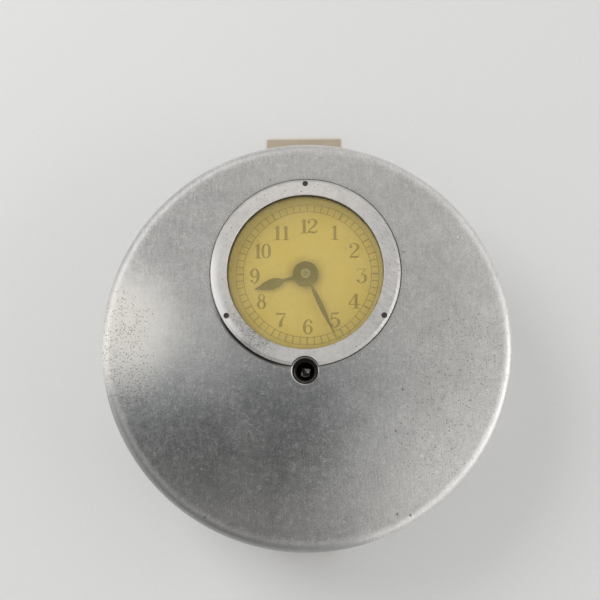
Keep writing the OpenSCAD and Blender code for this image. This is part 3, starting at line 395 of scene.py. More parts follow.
# Each nick is x, y and its size in millimetres
BRIGHT_NICKS = [
    (47.5, 32.2, 0.55), (48.8, 31.7, 0.5), (40.8, 35.7, 0.4), (27.8, 3.9, 0.45),
    (26.4, 2.7, 0.5), (20.6, -2.8, 0.5), (38.3, -29.3, 0.45), (34.9, -35.0, 0.55),
    (-24.3, -17.0, 0.5), (-21.8, -20.9, 0.35), (-20.9, -27.8, 0.5), (-31.1, -38.9, 0.55),
    (-32.3, -40.6, 0.45), (0.1, -48.8, 0.5), (11.6, -54.3, 0.5), (10.2, -57.3, 0.45),
    (19.2, -56.6, 0.5),
]
DARK_NICKS = [(29.6, -15.2, 0.6), (27.3, -27.6, 0.6), (-11.2, 51.1, 0.4), (30.6, 27.5, 0.45),
              (31.2, -52.3, 0.6), (27.3, -52.0, 0.5), (-29.8, -53.2, 0.7)]
# Middle x and y, direction in degrees, half length, half width, and how bright;
# a dark scratch is below 0
SCRATCHES = [
    (43.9, -33.0, 27, 1.8, 0.09, -0.5), (41.1, -33.4, 44, 2.9, 0.12, 0.5),
    (-24.2, -16.2, 82, 1.1, 0.09, 0.6), (0.5, -54.6, 0, 8.5, 0.25, -0.25),
    (4.0, -59.0, 2, 6.0, 0.2, -0.2), (-38.0, 24.0, 70, 3.5, 0.06, 0.35),
    (14.0, -40.0, -35, 2.6, 0.06, 0.35), (-6.0, -33.0, 15, 2.2, 0.06, 0.3),
    (52.0, -8.0, 100, 3.0, 0.06, 0.3), (-45.0, -30.0, 125, 2.6, 0.06, 0.35),
]
# Middle x and y of a field of pores, the radii where it is full and where it
# ends, and the share of cells that hold a pore
PORE_FIELDS = [
    (-57, 7, 3, 12, 0.80), (-57, -5, 4, 13, 0.80), (-53, -15, 2, 11, 0.80),
    (46, -6, 4, 30, 0.26), (38, -30, 2, 18, 0.26),
]
PORES_ELSEWHERE = 0.02
print(len(BRIGHT_NICKS) + len(DARK_NICKS), "nicks,", len(SCRATCHES), "scratches")


# %% Pores and lone marks
def casting_pores(look, face):
    """Small dark pores, which stand thick in their fields on the face."""
    near, chance = look.cells(0.62, at=look.warped(0.5, 0.5))
    density = PORES_ELSEWHERE
    if face:
        for middle_x, middle_y, inner, outer, share in PORE_FIELDS:
            density = density + share * look.spot(middle_x, middle_y, FACE, inner, outer)
    few = look.step((density - chance) * 12, 0, 1)
    size = 0.14 + 0.46 * look.noise(1.6, 2)
    return look.step((size - near) * 7, 0, 1) * few


def line_mark(look, x, y, mark):
    """1 along a short straight scratch."""
    middle_x, middle_y, angle, half_length, half_width, _ = mark
    c, s = math.cos(math.radians(angle)), math.sin(math.radians(angle))
    along = (x - middle_x) * c + (y - middle_y) * s
    across = (y - middle_y) * c - (x - middle_x) * s
    ends = look.step(along * along, half_length**2, half_length**2 * 0.4)
    return ends * look.step(across * across, half_width**2, 0)


def lone_marks(look, x, y, z):
    """The nicks and scratches of the face: the bright ones, and the dark ones."""
    bright, dark = 0, 0
    for mark_x, mark_y, size in BRIGHT_NICKS:
        bright = bright + look.spot(mark_x, mark_y, FACE, size * 0.3, size)
    for mark_x, mark_y, size in DARK_NICKS:
        dark = dark + 0.75 * look.spot(mark_x, mark_y, FACE, size * 0.2, size)
    on_top = look.step(z, FACE - 0.8, FACE - 0.2)
    for mark in SCRATCHES:
        brightness = mark[-1]
        line = line_mark(look, x, y, mark) * on_top
        if brightness > 0:
            bright = bright + line * brightness
        else:
            dark = dark - line * brightness
    return bright, dark


# %% Dirt and painted shadow round the bezel; painted shade, painted highlight and wear at the key hole; painted shade along the edge
def bezel_seat(look, x, y, fleck):
    """The dark line and grime in the bezel's seat, and a painted shadow over its lower left, near
    black at the bottom of that part.
    """
    out = look.radius((DIAL_X, DIAL_Y))
    down_left = -0.6 * x - 0.8 * (y - DIAL_Y)
    seat = look.step(out, SEAT_R + 0.1, SEAT_R - 0.2) * look.step(out, SEAT_R - 0.8, SEAT_R - 0.5)
    # Painted shadow: the seat goes darker over its lower left, as under the bezel's shade
    low_left_shadow = look.step(down_left, 22, 29) * look.step(x, 4, -6)
    dirt_and_shade = 0.35 * look.step(fleck, 0.35, 0.6) + 0.5 * low_left_shadow
    dirt_and_shade = dirt_and_shade * look.step(out, SEAT_R + 1.4, SEAT_R - 0.3)
    lowest_shadow = look.step(down_left, 25.5, 29.5) * look.step(x, 2, -8)
    return seat + dirt_and_shade, lowest_shadow * look.step(out, SEAT_R + 0.9, SEAT_R + 0.1)


def key_wear(look, x, y, grain):
    """Round the key hole: a ring worn bright, the hole painted dark as shade, and the rim of the hole
    painted pale as a highlight, most at the lower left.
    """
    out = look.radius((0, KEY_Y))
    worn = look.step(out, 6.5, 6.2) * look.step(out, 5.6, 6.1)
    worn = worn * look.step(grain, 0.3, 0.6) * look.step(y, -11, -14)
    # Painted shade: the inside of the key hole goes dark
    hole = look.step(out, KEY_HOLE_R, KEY_HOLE_R - 0.03)
    # Painted highlight: the rim of the key hole goes pale, most at the lower left
    lip_highlight = look.step(out, KEY_HOLE_R + 0.45, KEY_HOLE_R + 0.15)
    lip_highlight = lip_highlight * look.step(out, KEY_HOLE_R - 0.02, KEY_HOLE_R + 0.05)
    lower_left = look.step(-0.85 * x - 0.5 * (y - KEY_Y), -1.5, 3.5)
    return worn, hole, lip_highlight * (0.25 + 0.75 * lower_left)


def handled_edge(look, x, y):
    """The rounding of the edge, and painted shade that greys its reflection at the lower left, and
    less at the upper left.
    """
    out = look.radius((0, 0))
    lower = look.step(-0.5 * x - 0.87 * y, 37, 50)
    upper = look.step(-0.87 * x + 0.5 * y, 52, 60)
    grey = look.step(out, CASE_R - 3.7, CASE_R - 1.3) * (0.62 * lower + 0.28 * upper)
    return look.step(out, CASE_R - 4.5, CASE_R - 2), grey


# %% Aluminium, with the marks of the face if asked
def cast_aluminium(name, face=False):
    """Satin cast metal; face adds the marks that have a place of their own."""
    look = Finish(name)
    x, y, z = look.axes()
    cloud = look.noise(15, 4, 0.55)
    fleck = look.noise(1.5, 5, 0.65)
    grain = look.noise(0.42, 3, 0.6)
    drag = look.noise(1, 3, 0.6, at=look.turned(4, (0.5, 7, 2)))
    patch = look.noise(4.5, 3, 0.6)
    tone = 0.3 * cloud + 0.35 * patch + 0.4 * fleck + 1.0 * grain + 0.5 * drag - 0.75
    color = look.mix(tone, (0.46, 0.46, 0.455), (0.97, 0.96, 0.94))
    rough = 0.15 + 0.07 * cloud + 0.08 * fleck + 0.06 * grain
    metallic = 0.985 - 0.05 * look.step(fleck, 0.52, 0.7)
    pores = casting_pores(look, face)
    specks, luck = look.cells(2.6, at=look.warped(0.8, 0.8))
    bright = look.step(specks, 0.12, 0.05) * look.step(luck, 0.60, 0.56) * 0.7
    dark = pores * 0.12
    if face:
        lone_bright, lone_dark = lone_marks(look, x, y, z)
        dirt_and_shade, shadow_crescent = bezel_seat(look, x, y, fleck)
        worn, hole, lip_highlight = key_wear(look, x, y, grain)
        bright = bright + lone_bright + 0.45 * worn
        dark = dark + lone_dark + 0.7 * dirt_and_shade + hole
        # Painted highlight: a pale cream patch at the left of the face, less metallic so the lamps
        # light it
        left_highlight = look.spot(-56, 4, FACE, 6, 24)
        color = look.mix(0.55 * left_highlight, color, (0.95, 0.91, 0.84))
        metallic = metallic - 0.3 * left_highlight
        rough = rough + 0.10 * left_highlight
    fine = look.noise(1, 2, 0.5, at=look.turned(52, (0.09, 6, 3)))
    hair = look.step(fine, 0.66, 0.72) * look.step(cloud, 0.42, 0.6)
    bright = bright + 0.2 * hair
    color = look.mix(bright, color, (0.98, 0.97, 0.95))
    color = look.mix(0.62 * pores, color, (0.24, 0.185, 0.14))
    # dark also carries painted shade: inside the key hole and over the bezel seat's lower left
    color = look.mix(dark, color, (0.06, 0.053, 0.045))
    rough = rough + 0.3 * dark
    if face:
        # Painted shadow: the seat's bottom part at the lower left is made near black
        color = look.mix(0.9 * shadow_crescent, color, (0.012, 0.013, 0.013))
        # Painted highlight on the rim of the key hole: pale, less metallic and rougher
        color = look.mix(lip_highlight, color, (0.80, 0.785, 0.75))
        metallic = metallic - 0.5 * lip_highlight
        rough = rough + 0.25 * lip_highlight
        edge, grey = handled_edge(look, x, y)
        rough = rough + 0.16 * edge
        # Painted shade: the rounding's reflection goes grey at the lower left and upper left
        color = look.mix(grey, color, (0.20, 0.205, 0.21))
    relief = look.bump(cloud, 0.06)
    relief = look.bump(0.6 * fleck + 0.4 * drag, 0.016, relief)
    relief = look.bump(grain - 0.4 * pores + 0.6 * hair, 0.010, relief)
    return look.surface(color, metallic, rough, relief)


dress(cast_aluminium("cast_aluminium_face", face=True), "front_case")
dress(cast_aluminium("cast_aluminium"), "case_wall", "case_bosses", "back_cover")

# %% [markdown]
# ## Turned aluminium
#
# The bezel was turned on a lathe and screwed down. It is whiter than the case,
# with fine rings about its own middle, many small scratches, worst on its right
# side, and bright bevels, the outer one with a painted highlight at the left.
# The wall of its bore and its notch at the key hole are painted dark as shade.
# The chart's carrier is turned about the clock's middle instead, so one recipe
# takes the middle as a value.


# %% Turned aluminium about a given middle
BEZEL_Z = 38.8
BORE_TOP = 39.25


def turned_aluminium(name, centre, dull=0.45, inner=0):
    """Lathe-cut metal; dull is for its clouds, and inner the radius of a bore whose wall is painted
    dark as shade.
    """
    look = Finish(name)
    x, y, z = look.axes()
    out = look.radius(centre)
    rings = {"W": out / 0.22, "Detail": 2.0}
    cut = look.node("TexNoise", {"noise_dimensions": "1D"}, rings, out="Fac")
    cloud = look.noise(7, 4, 0.6)
    fleck = look.noise(1.1, 4, 0.65)
    grain = look.noise(0.35, 2)
    tone = 0.4 * cloud + 0.9 * fleck + 0.5 * grain - 0.4
    color = look.mix(tone, (0.57, 0.555, 0.53), (0.915, 0.885, 0.85))
    one_way = look.noise(1, 2, 0.5, at=look.turned(58, (0.10, 3.5, 2)))
    other_way = look.noise(1, 2, 0.5, at=look.turned(-25, (0.08, 4.5, 2)))
    blotch = look.spot(-17, 1, BEZEL_Z, 3, 13)
    color = look.mix(blotch * look.step(grain, 0.45, 0.62), color, (0.30, 0.29, 0.27))
    busy = look.step(x - centre[0], 14, 25)
    color = look.mix(0.5 * busy, color, (0.52, 0.52, 0.51))
    lines = look.step(one_way, 0.50, 0.58) * busy + look.step(other_way, 0.62, 0.68) * 0.5
    # Painted highlight: the outer bevel at the left is made near white and less metallic
    left_bevel_highlight = look.step(out, 26.6, 28.4) * look.spot(-26, 14, BEZEL_Z, 7, 20)
    near, chance = look.cells(1.3)
    dents = look.step(near, 0.30, 0.12) * look.step(chance, 0.30, 0.26)
    color = look.mix(0.7 * lines, color, (0.99, 0.985, 0.97))
    color = look.mix(0.6 * dents, color, (0.28, 0.27, 0.25))
    color = look.mix(left_bevel_highlight, color, (0.99, 0.985, 0.97))
    if inner:
        duller = look.step(y, DIAL_Y + 24, DIAL_Y + 8)
        color = look.mix(0.15 * duller, color, (0.25, 0.25, 0.245))
        # Painted shade: the bore's wall and the notch at the key hole go near black
        wall = look.step(out, inner + 0.03, inner) * look.step(z, BORE_TOP, BORE_TOP - 0.15)
        notch_shade = look.step(look.radius((0, KEY_Y)), KEY_HOLE_R + 0.5, KEY_HOLE_R + 0.46)
        dirt_and_shade = wall + notch_shade
        color = look.mix(dirt_and_shade, color, (0.05, 0.045, 0.035))
        dents = dents + dirt_and_shade
    metallic = 1 - dull * look.step(cloud, 0.2, 0.6) - 0.3 * left_bevel_highlight
    rough = 0.30 + 0.12 * fleck + 0.06 * cut - 0.08 * lines + 0.3 * dents
    relief = look.bump(cut, 0.012)
    relief = look.bump(0.5 * fleck + 0.4 * grain + 0.5 * lines - dents, 0.022, relief)
    return look.surface(color, metallic, rough, relief)


dress(turned_aluminium("turned_aluminium_bezel", (DIAL_X, DIAL_Y), inner=24.33), "bezel_ring")
dress(turned_aluminium("turned_aluminium", (0, 0), 0.1), "chart_carrier")

# %% [markdown]
# ## Nickel, brass and steel
#
# The strap loop was nickel-plated brass once. Its plate has gone tan and thin,
# and gold shows near the ends. Inside, the movement's plates are gilt with a
# frosted face, the wheels are plain brass, and the steel is grey, blued or
# oxidised. Each is the same few patterns in other sizes and colours, so each
# gets a short recipe.

# %% Worn nickel
LOOP_END, LOOP_LEFT, LOOP_RIGHT = 72.3, -14.35, 12.15
look = Finish("worn_nickel")
x, y, _ = look.axes()
cloud = look.noise(6, 4, 0.6)
fleck = look.noise(0.9, 4, 0.6)
brushed = look.noise(1, 3, 0.6, at=look.turned(0, (5, 0.25, 0.25)))
color = look.mix(0.6 * cloud + 0.4 * brushed, (0.44, 0.37, 0.275), (0.66, 0.57, 0.44))
gold = look.spot(11.0, 71.0, 19, 0.2, 1.0) + look.spot(-12.9, 70.6, 19, 0.2, 1.2)
gold = 0.6 * gold + 0.25 * look.step(cloud * fleck, 0.33, 0.42)
color = look.mix(gold, color, (0.72, 0.50, 0.20))
rim = look.step(y, LOOP_END - 0.9, LOOP_END - 0.4)
rim = rim + look.step(x, LOOP_RIGHT - 0.85, LOOP_RIGHT - 0.35)
rim = rim + look.step(x, LOOP_LEFT + 0.85, LOOP_LEFT + 0.35)
color = look.mix(0.75 * rim, color, (0.88, 0.87, 0.85))
relief = look.bump(0.5 * brushed + 0.5 * fleck, 0.02)
dress(look.surface(color, 0.72, 0.34 + 0.2 * fleck, relief), "strap_loop")


# %% Brass, plain or gilt
def brass(name, low, high, tarnish, roughness, frost, arbor_r=0):
    """Brass between two tones; within arbor_r of the dial's middle it is steel grey."""
    look = Finish(name)
    cloud = look.noise(9, 4, 0.6)
    fleck = look.noise(1.0, 4, 0.6)
    grain = look.noise(0.22, 2)
    brushed = look.noise(1, 3, 0.6, at=look.turned(35, (0.15, 5, 2)))
    color = look.mix(0.5 * cloud + 0.5 * brushed, low, high)
    stain = look.step(cloud * fleck, 0.30, 0.42)
    color = look.mix(tarnish * stain, color, (0.24, 0.13, 0.05))
    spots, chance = look.cells(1.6)
    freckle = look.step(spots, 0.24, 0.12) * look.step(chance, 0.12, 0.10)
    color = look.mix(0.6 * freckle, color, (0.12, 0.08, 0.04))
    if arbor_r:
        out = look.radius((DIAL_X, DIAL_Y))
        color = look.mix(look.step(out, arbor_r + 0.05, arbor_r), color, (0.36, 0.34, 0.31))
    rough = roughness + 0.14 * fleck + 0.18 * stain
    relief = look.bump(frost * grain + (1 - frost) * brushed, 0.012)
    return look.surface(color, 1.0 - 0.25 * stain, rough, relief)


SATIN = ((0.60, 0.42, 0.17), (0.83, 0.64, 0.32), 0.5, 0.24, 0.3)
ARBOR_R = 1.7
dress(brass("satin_brass", *SATIN), "chart_wheel", "chart_nut", "main_plate", "barrel",
      "third_wheel", "fourth_wheel", "escape_wheel", "hour_wheel", "minute_wheel",
      "movement_pillars", "lock_housing", "lock_plug")
dress(brass("centre_brass", *SATIN, ARBOR_R), "centre_wheel")
dress(brass("gilt_brass", (0.76, 0.56, 0.26), (0.92, 0.74, 0.42), 0.3, 0.34, 0.9),
      "movement_back_plate", "movement_front_plate", "balance_wheel")
dress(brass("dull_brass", (0.17, 0.135, 0.09), (0.34, 0.28, 0.19), 0.6, 0.34, 0.4),
      "hinge_leaf_case", "hinge_leaf_cover")
# Painted shade: the spindle bridge, deep in the key's bore, is made near-black brass
dress(brass("brass_dark_as_shade", (0.03, 0.024, 0.015), (0.10, 0.08, 0.045), 0.8, 0.5, 0.5),
      "spindle_bridge")


# %% Steel, grey, oxidised or blued
def steel(name, low, high, roughness, rust):
    """Steel between two tones, rusty where its stains are."""
    look = Finish(name)
    cloud = look.noise(4, 4, 0.6)
    fleck = look.noise(0.6, 4, 0.6)
    brushed = look.noise(1, 3, 0.6, at=look.turned(80, (0.12, 3, 1)))
    color = look.mix(0.5 * cloud + 0.5 * brushed, low, high)
    stain = look.step(cloud * fleck, 0.34, 0.44)
    color = look.mix(rust * stain, color, (0.16, 0.075, 0.035))
    rough = roughness + 0.15 * fleck + 0.2 * stain
    relief = look.bump(0.5 * brushed + 0.5 * fleck, 0.010)
    return look.surface(color, 1.0 - 0.4 * rust * stain, rough, relief)


dress(steel("grey_steel", (0.42, 0.42, 0.42), (0.66, 0.66, 0.665), 0.24, 0.35), "cannon_pinion",
      "chart_stud", "click", "click_spring", "cover_leaf_screws", "hinge_pin",
      "hinge_screws", "lever_stud", "lock_cam", "lock_catch", "main_plate_screws",
      "marking_cam", "marking_lever", "marking_stylus", "pallet_fork", "ratchet_wheel",
      "strap_screws", "stud_screw", "winding_arbor")
dress(steel("dark_steel", (0.07, 0.065, 0.06), (0.17, 0.16, 0.15), 0.42, 0.8), "bezel_screws")
blued_steel = steel("blued_steel", (0.02, 0.035, 0.12), (0.07, 0.05, 0.15), 0.18, 0.3)
dress(blued_steel, "mainspring", "hairspring", "spindle_spring", "lever_spring", "movement_screws")
dress(steel("browned_hands", (0.040, 0.034, 0.020), (0.085, 0.070, 0.040), 0.42, 0.5),
      "hour_hand", "minute_hand")

# %% Key bush, near black as painted shade, with its face worn bright by the keys and painted as lit on the lower half only
RUB_INNER_R, RUB_OUTER_R, RUB_Z = 3.22, 3.49, 36.2
look = Finish("key_bush_wear_and_shade")
_, y, z = look.axes()
out = look.radius((0, KEY_Y))
cloud = look.noise(1.6, 4, 0.6)
rubbed_and_lit = look.step(out, RUB_INNER_R, RUB_INNER_R + 0.1) * look.step(z, RUB_Z, RUB_Z + 0.3)
rubbed_and_lit = rubbed_and_lit * look.step(out, RUB_OUTER_R, RUB_OUTER_R - 0.07)
# Painted light: the worn face is bright only on its lower half; its top is left dark as the bezel's
# shadow
rubbed_and_lit = rubbed_and_lit * look.step(y, KEY_Y + 1.5, KEY_Y - 1.5)
# Painted shade: the bush is near black all over, as down the bore
color = look.mix(cloud, (0.012, 0.011, 0.009), (0.045, 0.040, 0.033))
worn = look.mix(look.step(cloud, 0.35, 0.62), (0.08, 0.07, 0.06), (0.46, 0.41, 0.36))
color = look.mix(rubbed_and_lit, color, worn)
dress(look.surface(color, 0.9, 0.55 - 0.25 * rubbed_and_lit, look.bump(cloud, 0.02)), "key_bush")

# %% Spindle, dark, with painted highlights on its post near the top
SHINE_Z = 30.8
look = Finish("key_post_highlight")
_, _, z = look.axes()
cloud = look.noise(1.5, 4, 0.65)
fleck = look.noise(0.35, 3, 0.6)
# Painted highlight: pale, less metallic patches on the post near its top
post_highlight = look.step(0.8 * cloud + 0.2 * fleck, 0.46, 0.60) * look.step(z, SHINE_Z, SHINE_Z + 0.6)
color = look.mix(post_highlight, (0.05, 0.045, 0.035), (0.88, 0.86, 0.80))
relief = look.bump(cloud, 0.04)
dress(look.surface(color, 0.95 - 0.45 * post_highlight, 0.42 - 0.1 * post_highlight, relief), "key_spindle")

# %% [markdown]
# ## Crystal, dial and paper
#
# The window is an early plastic that has yellowed and gone a little hazy. Real
# refraction would cost much noise for a flat disc, so the crystal is a mix: a
# clear yellow part that lets the dial through, and a hazy part that catches the
# light, more where the haze is thick and along fine scratches. The dial is
# cream card, with painted shade towards its rim and round the hands.

# %% Yellowed crystal
look = Finish("yellowed_crystal")
haze = look.noise(9, 3, 0.5)
fine = look.noise(1, 2, 0.5, at=look.turned(28, (0.07, 7, 3)))
lines = look.step(fine, 0.68, 0.74)
out = look.radius((DIAL_X, DIAL_Y))
fog = 0.11 + 0.16 * haze + 0.08 * lines + 0.06 * look.step(out, 20, 24.5)
tone = look.mix(haze, (0.80, 0.69, 0.30), (0.92, 0.80, 0.40))
clear = look.node("BsdfTransparent", sockets={"Color": (0.985, 0.965, 0.84)})
hazy = look.node(
    "BsdfPrincipled",
    sockets={"Base Color": tone, "Roughness": 0.16 + 0.1 * lines, "Coat Weight": 0.3,
             "Normal": look.bump(haze + 0.3 * lines, 0.02)},
)
crystal = look.node("MixShader", sockets={"Fac": fog, "Shader": clear, "Shader_001": hazy})
dress(look.output(crystal), "crystal")


# %% Dial card, its rim and the chart's paper
def card_finish(name, low, high, foxing, middle=None):
    """Card or paper between two tones, with brown stains; a dial gets painted shade round its middle
    and towards its rim.
    """
    look = Finish(name)
    cloud = look.noise(14, 4, 0.55)
    fleck = look.noise(1.6, 5, 0.6)
    fibre = look.noise(0.3, 3, 0.6)
    color = look.mix(0.7 * cloud + 0.2 * fleck + 0.1 * fibre, low, high)
    stain = look.step(cloud * fleck, 0.29, 0.40)
    color = look.mix(foxing * stain, color, (0.36, 0.22, 0.09))
    dots, chance = look.cells(2.1)
    speck = look.step(dots, 0.16, 0.06) * look.step(chance, 0.16, 0.13)
    color = look.mix(0.55 * foxing * speck, color, (0.20, 0.12, 0.05))
    if middle:
        out = look.radius(middle)
        # Painted shade: darker round the hub under the hands and towards the rim under the ring
        shade = 0.55 * look.step(out, 7.5, 3.5) + 0.45 * look.step(out, 18, 25.5)
        color = look.mix(shade, color, (0.40, 0.32, 0.15))
    relief = look.bump(0.6 * fibre + 0.4 * fleck, 0.012)
    return look.surface(color, 0.0, 0.62 + 0.15 * fleck, relief, Specular_IOR_Level=0.3)


dress(card_finish("dial_card", (0.80, 0.65, 0.26), (0.90, 0.76, 0.34), 0.3, (DIAL_X, DIAL_Y)),
      "dial_plate")
dress(card_finish("dial_rim_card", (0.52, 0.45, 0.26), (0.70, 0.62, 0.40), 0.5), "dial_ring")
dress(card_finish("chart_paper", (0.74, 0.70, 0.58), (0.87, 0.84, 0.75), 0.3), "paper_chart")

# %% Printing ink
look = Finish("printing_ink")
worn = look.noise(0.25, 3, 0.6)
color = look.mix(worn, (0.17, 0.12, 0.035), (0.32, 0.23, 0.07))
ink = look.surface(color, 0.0, 0.55, look.bump(worn, 0.01))
print("ink mixed")

# %% [markdown]
# ## Felt ring
#
# A ring of green felt on the back cover presses on the chart. Felt is soft, so
# its edges are round and its faces a little uneven. The section is drawn as a
# small grid, spun round the middle, then pushed in by noise.


# %% Felt ring, from a drawn section
def alone(piece):
    """Selects one piece and nothing else."""
    bpy.ops.object.select_all(action="DESELECT")
    piece.select_set(True)
    bpy.context.view_layer.objects.active = piece


FELT_INNER_R = 31
FELT_ROUNDING = 0.5
FELT_STEPS = 200
bpy.ops.object.select_all(action="DESELECT")
low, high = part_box("cover_felt_ring")
felt_width = high[0] - FELT_INNER_R * MM
felt_height = high[2] - low[2]
bpy.ops.mesh.primitive_plane_add(
    size=1,
    location=(high[0] - felt_width / 2, 0, low[2] + felt_height / 2),
    rotation=(math.pi / 2, 0, 0),
)
felt = bpy.context.object
felt.name = "felt_ring"
felt.scale = (felt_width, felt_height, 1)
bpy.ops.object.transform_apply(location=True, rotation=True, scale=True)
bpy.ops.object.mode_set(mode="EDIT")
bpy.ops.mesh.select_all(action="SELECT")
bpy.ops.mesh.bevel(offset=FELT_ROUNDING * MM, segments=2, affect="VERTICES")
bpy.ops.mesh.subdivide(number_cuts=3)
bpy.ops.mesh.delete(type="ONLY_FACE")
bpy.ops.mesh.select_all(action="SELECT")
bpy.ops.mesh.spin(steps=FELT_STEPS, angle=2 * math.pi, center=(0, 0, 0), axis=(0, 0, 1))
bpy.ops.mesh.select_all(action="SELECT")
bpy.ops.mesh.remove_doubles(threshold=0.01 * MM)
bpy.ops.mesh.normals_make_consistent(inside=False)
bpy.ops.object.mode_set(mode="OBJECT")
print("felt section spun to", len(felt.data.polygons), "faces")


# %% Pushed in unevenly, as pressed wool is
def push(piece, name, size, depth):
    """Moves a surface in by cloudy noise: blobs of size, at most depth deep, in millimetres."""
    clouds = bpy.data.textures.new(name, "CLOUDS")
    clouds.noise_scale = size * MM
    clouds.noise_depth = 2
    bpy.context.view_layer.objects.active = piece
    made = piece.modifiers.new(name, "DISPLACE")
    made.texture = clouds
    made.texture_coords = "LOCAL"
    made.strength = depth * MM
    made.mid_level = 1.0
    bpy.ops.object.modifier_apply(modifier=made.name)


alone(felt)
fine = felt.modifiers.new("rounding", "SUBSURF")
fine.levels = fine.render_levels = 1
bpy.ops.object.modifier_apply(modifier="rounding")
push(felt, "felt_waves", 9, 0.25)
push(felt, "felt_tufts", 0.9, 0.16)
bpy.ops.object.shade_smooth()
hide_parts("cover_felt_ring")
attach(felt, "cover")
print("felt ring has", len(felt.data.polygons), "faces")

# %% Green wool
look = Finish("green_wool_felt")
cloud = look.noise(7, 4, 0.6)
tuft = look.noise(0.8, 5, 0.7)
one_way = look.noise(1, 2, 0.5, at=look.turned(20, (0.06, 0.9, 0.6)))
other_way = look.noise(1, 2, 0.5, at=look.turned(112, (0.06, 1.1, 0.6)))
hairs = look.step(one_way, 0.56, 0.66) + look.step(other_way, 0.58, 0.68)
color = look.mix(0.5 * cloud + 0.5 * tuft, (0.016, 0.055, 0.024), (0.060, 0.150, 0.070))
color = look.mix(0.4 * hairs, color, (0.13, 0.24, 0.13))
pressed = look.step(look.radius((0, 0)), 37, 41) * look.step(cloud, 0.35, 0.6)
color = look.mix(0.35 * pressed, color, (0.13, 0.13, 0.09))
relief = look.bump(0.6 * tuft + 0.4 * hairs, 0.10)
rough = 0.92 - 0.1 * pressed
wool = look.surface(color, 0.0, rough, relief, Sheen_Weight=0.35, Sheen_Roughness=0.4)
felt.data.materials.append(wool)
print(wool.name, "on the felt ring")

# %% [markdown]
# ## Print on the dial
#
# The dial has plain numbers, upright, with thick stems and thin hairlines, in a
# ring inside a track of minutes. A font would need a file, so each numeral is
# drawn as by a broad pen: a row of places with the pen's width at each. Blender
# makes a ribbon of such a row by itself, from a curve whose points have a
# radius. The ribbons of one numeral get a thickness and are made one piece.

# %% Pen places of the numerals
# Each place is x, y and the pen's width, for a numeral that is 1 high
UPPER_LOOP = ((0, 0.97, 0.05), (-0.14, 0.77, 0.12), (0, 0.55, 0.09), (0.14, 0.77, 0.12))
LOWER_LOOP = ((0, 0.55, 0.09), (-0.19, 0.27, 0.15), (0, 0.025, 0.05), (0.19, 0.27, 0.15))
SIX_BOW = ((0.17, 0.86, 0.06), (0.05, 0.97, 0.06), (-0.12, 0.85, 0.11), (-0.2, 0.45, 0.18),
           (-0.14, 0.12, 0.11), (0, 0.02, 0.05), (0.14, 0.12, 0.1), (0.19, 0.3, 0.15),
           (0.12, 0.52, 0.09), (0, 0.58, 0.05), (-0.1, 0.5, 0.05))
PEN_STROKES = {
    "0": [((0, 0.97, 0.05), (-0.14, 0.85, 0.11), (-0.19, 0.5, 0.17), (-0.14, 0.15, 0.11),
           (0, 0.03, 0.05), (0.14, 0.15, 0.11), (0.19, 0.5, 0.17), (0.14, 0.85, 0.11))],
    "1": [((0.02, 0.97, 0.2), (0.02, 0.03, 0.2)),
          ((-0.2, 0.78, 0.03), (-0.1, 0.84, 0.07), (0, 0.95, 0.1)),
          ((-0.2, 0.025, 0.05), (0.24, 0.025, 0.05))],
    "2": [((-0.25, 0.78, 0.04), (-0.2, 0.9, 0.06), (-0.05, 0.975, 0.05), (0.12, 0.93, 0.09),
           (0.21, 0.75, 0.17), (0.13, 0.55, 0.12), (-0.08, 0.32, 0.07), (-0.24, 0.1, 0.06)),
          ((-0.27, 0.05, 0.07), (-0.12, 0.1, 0.13), (0.08, 0.06, 0.13), (0.25, 0.13, 0.05),
           (0.28, 0.25, 0.03))],
    "3": [((-0.24, 0.95, 0.05), (0.24, 0.95, 0.05)),
          ((-0.22, 0.95, 0.04), (-0.22, 0.82, 0.04)),
          ((0.24, 0.95, 0.05), (-0.02, 0.62, 0.05)),
          ((-0.02, 0.6, 0.06), (0.12, 0.56, 0.1), (0.22, 0.34, 0.18), (0.1, 0.07, 0.09),
           (-0.06, 0.02, 0.05), (-0.2, 0.1, 0.08))],
    "4": [((0.06, 0.98, 0.06), (-0.32, 0.3, 0.06)),
          ((-0.34, 0.28, 0.06), (0.3, 0.28, 0.06)),
          ((0.08, 0.97, 0.17), (0.08, 0.03, 0.17)),
          ((-0.1, 0.025, 0.05), (0.26, 0.025, 0.05))],
    "5": [((-0.17, 0.93, 0.1), (0.1, 0.93, 0.12), (0.22, 0.97, 0.05)),
          ((-0.18, 0.95, 0.05), (-0.2, 0.52, 0.05)),
          ((-0.2, 0.52, 0.05), (-0.05, 0.61, 0.08), (0.13, 0.56, 0.11), (0.21, 0.33, 0.18),
           (0.1, 0.07, 0.1), (-0.06, 0.02, 0.05), (-0.19, 0.1, 0.08))],
    "6": [SIX_BOW],
    "7": [((-0.25, 0.92, 0.12), (0, 0.9, 0.12), (0.26, 0.95, 0.06)),
          ((-0.25, 0.97, 0.04), (-0.26, 0.78, 0.04)),
          ((0.26, 0.93, 0.05), (0.08, 0.6, 0.1), (-0.02, 0.25, 0.18), (-0.02, 0.03, 0.19))],
    "8": [UPPER_LOOP, LOWER_LOOP],
    "9": [tuple((-x, 1 - y, width) for x, y, width in SIX_BOW)],
}
# Round blobs at the ends of strokes: x, y and radius
PEN_BLOBS = {"2": (-0.19, 0.76, 0.085), "3": (-0.2, 0.17, 0.085), "5": (-0.19, 0.17, 0.08),
             "6": (0.17, 0.82, 0.075), "9": (-0.17, 0.18, 0.075)}
CLOSED_STROKES = {"0", "8"}
INK_T = 0.03
print("numerals drawn", " ".join(sorted(PEN_STROKES)))


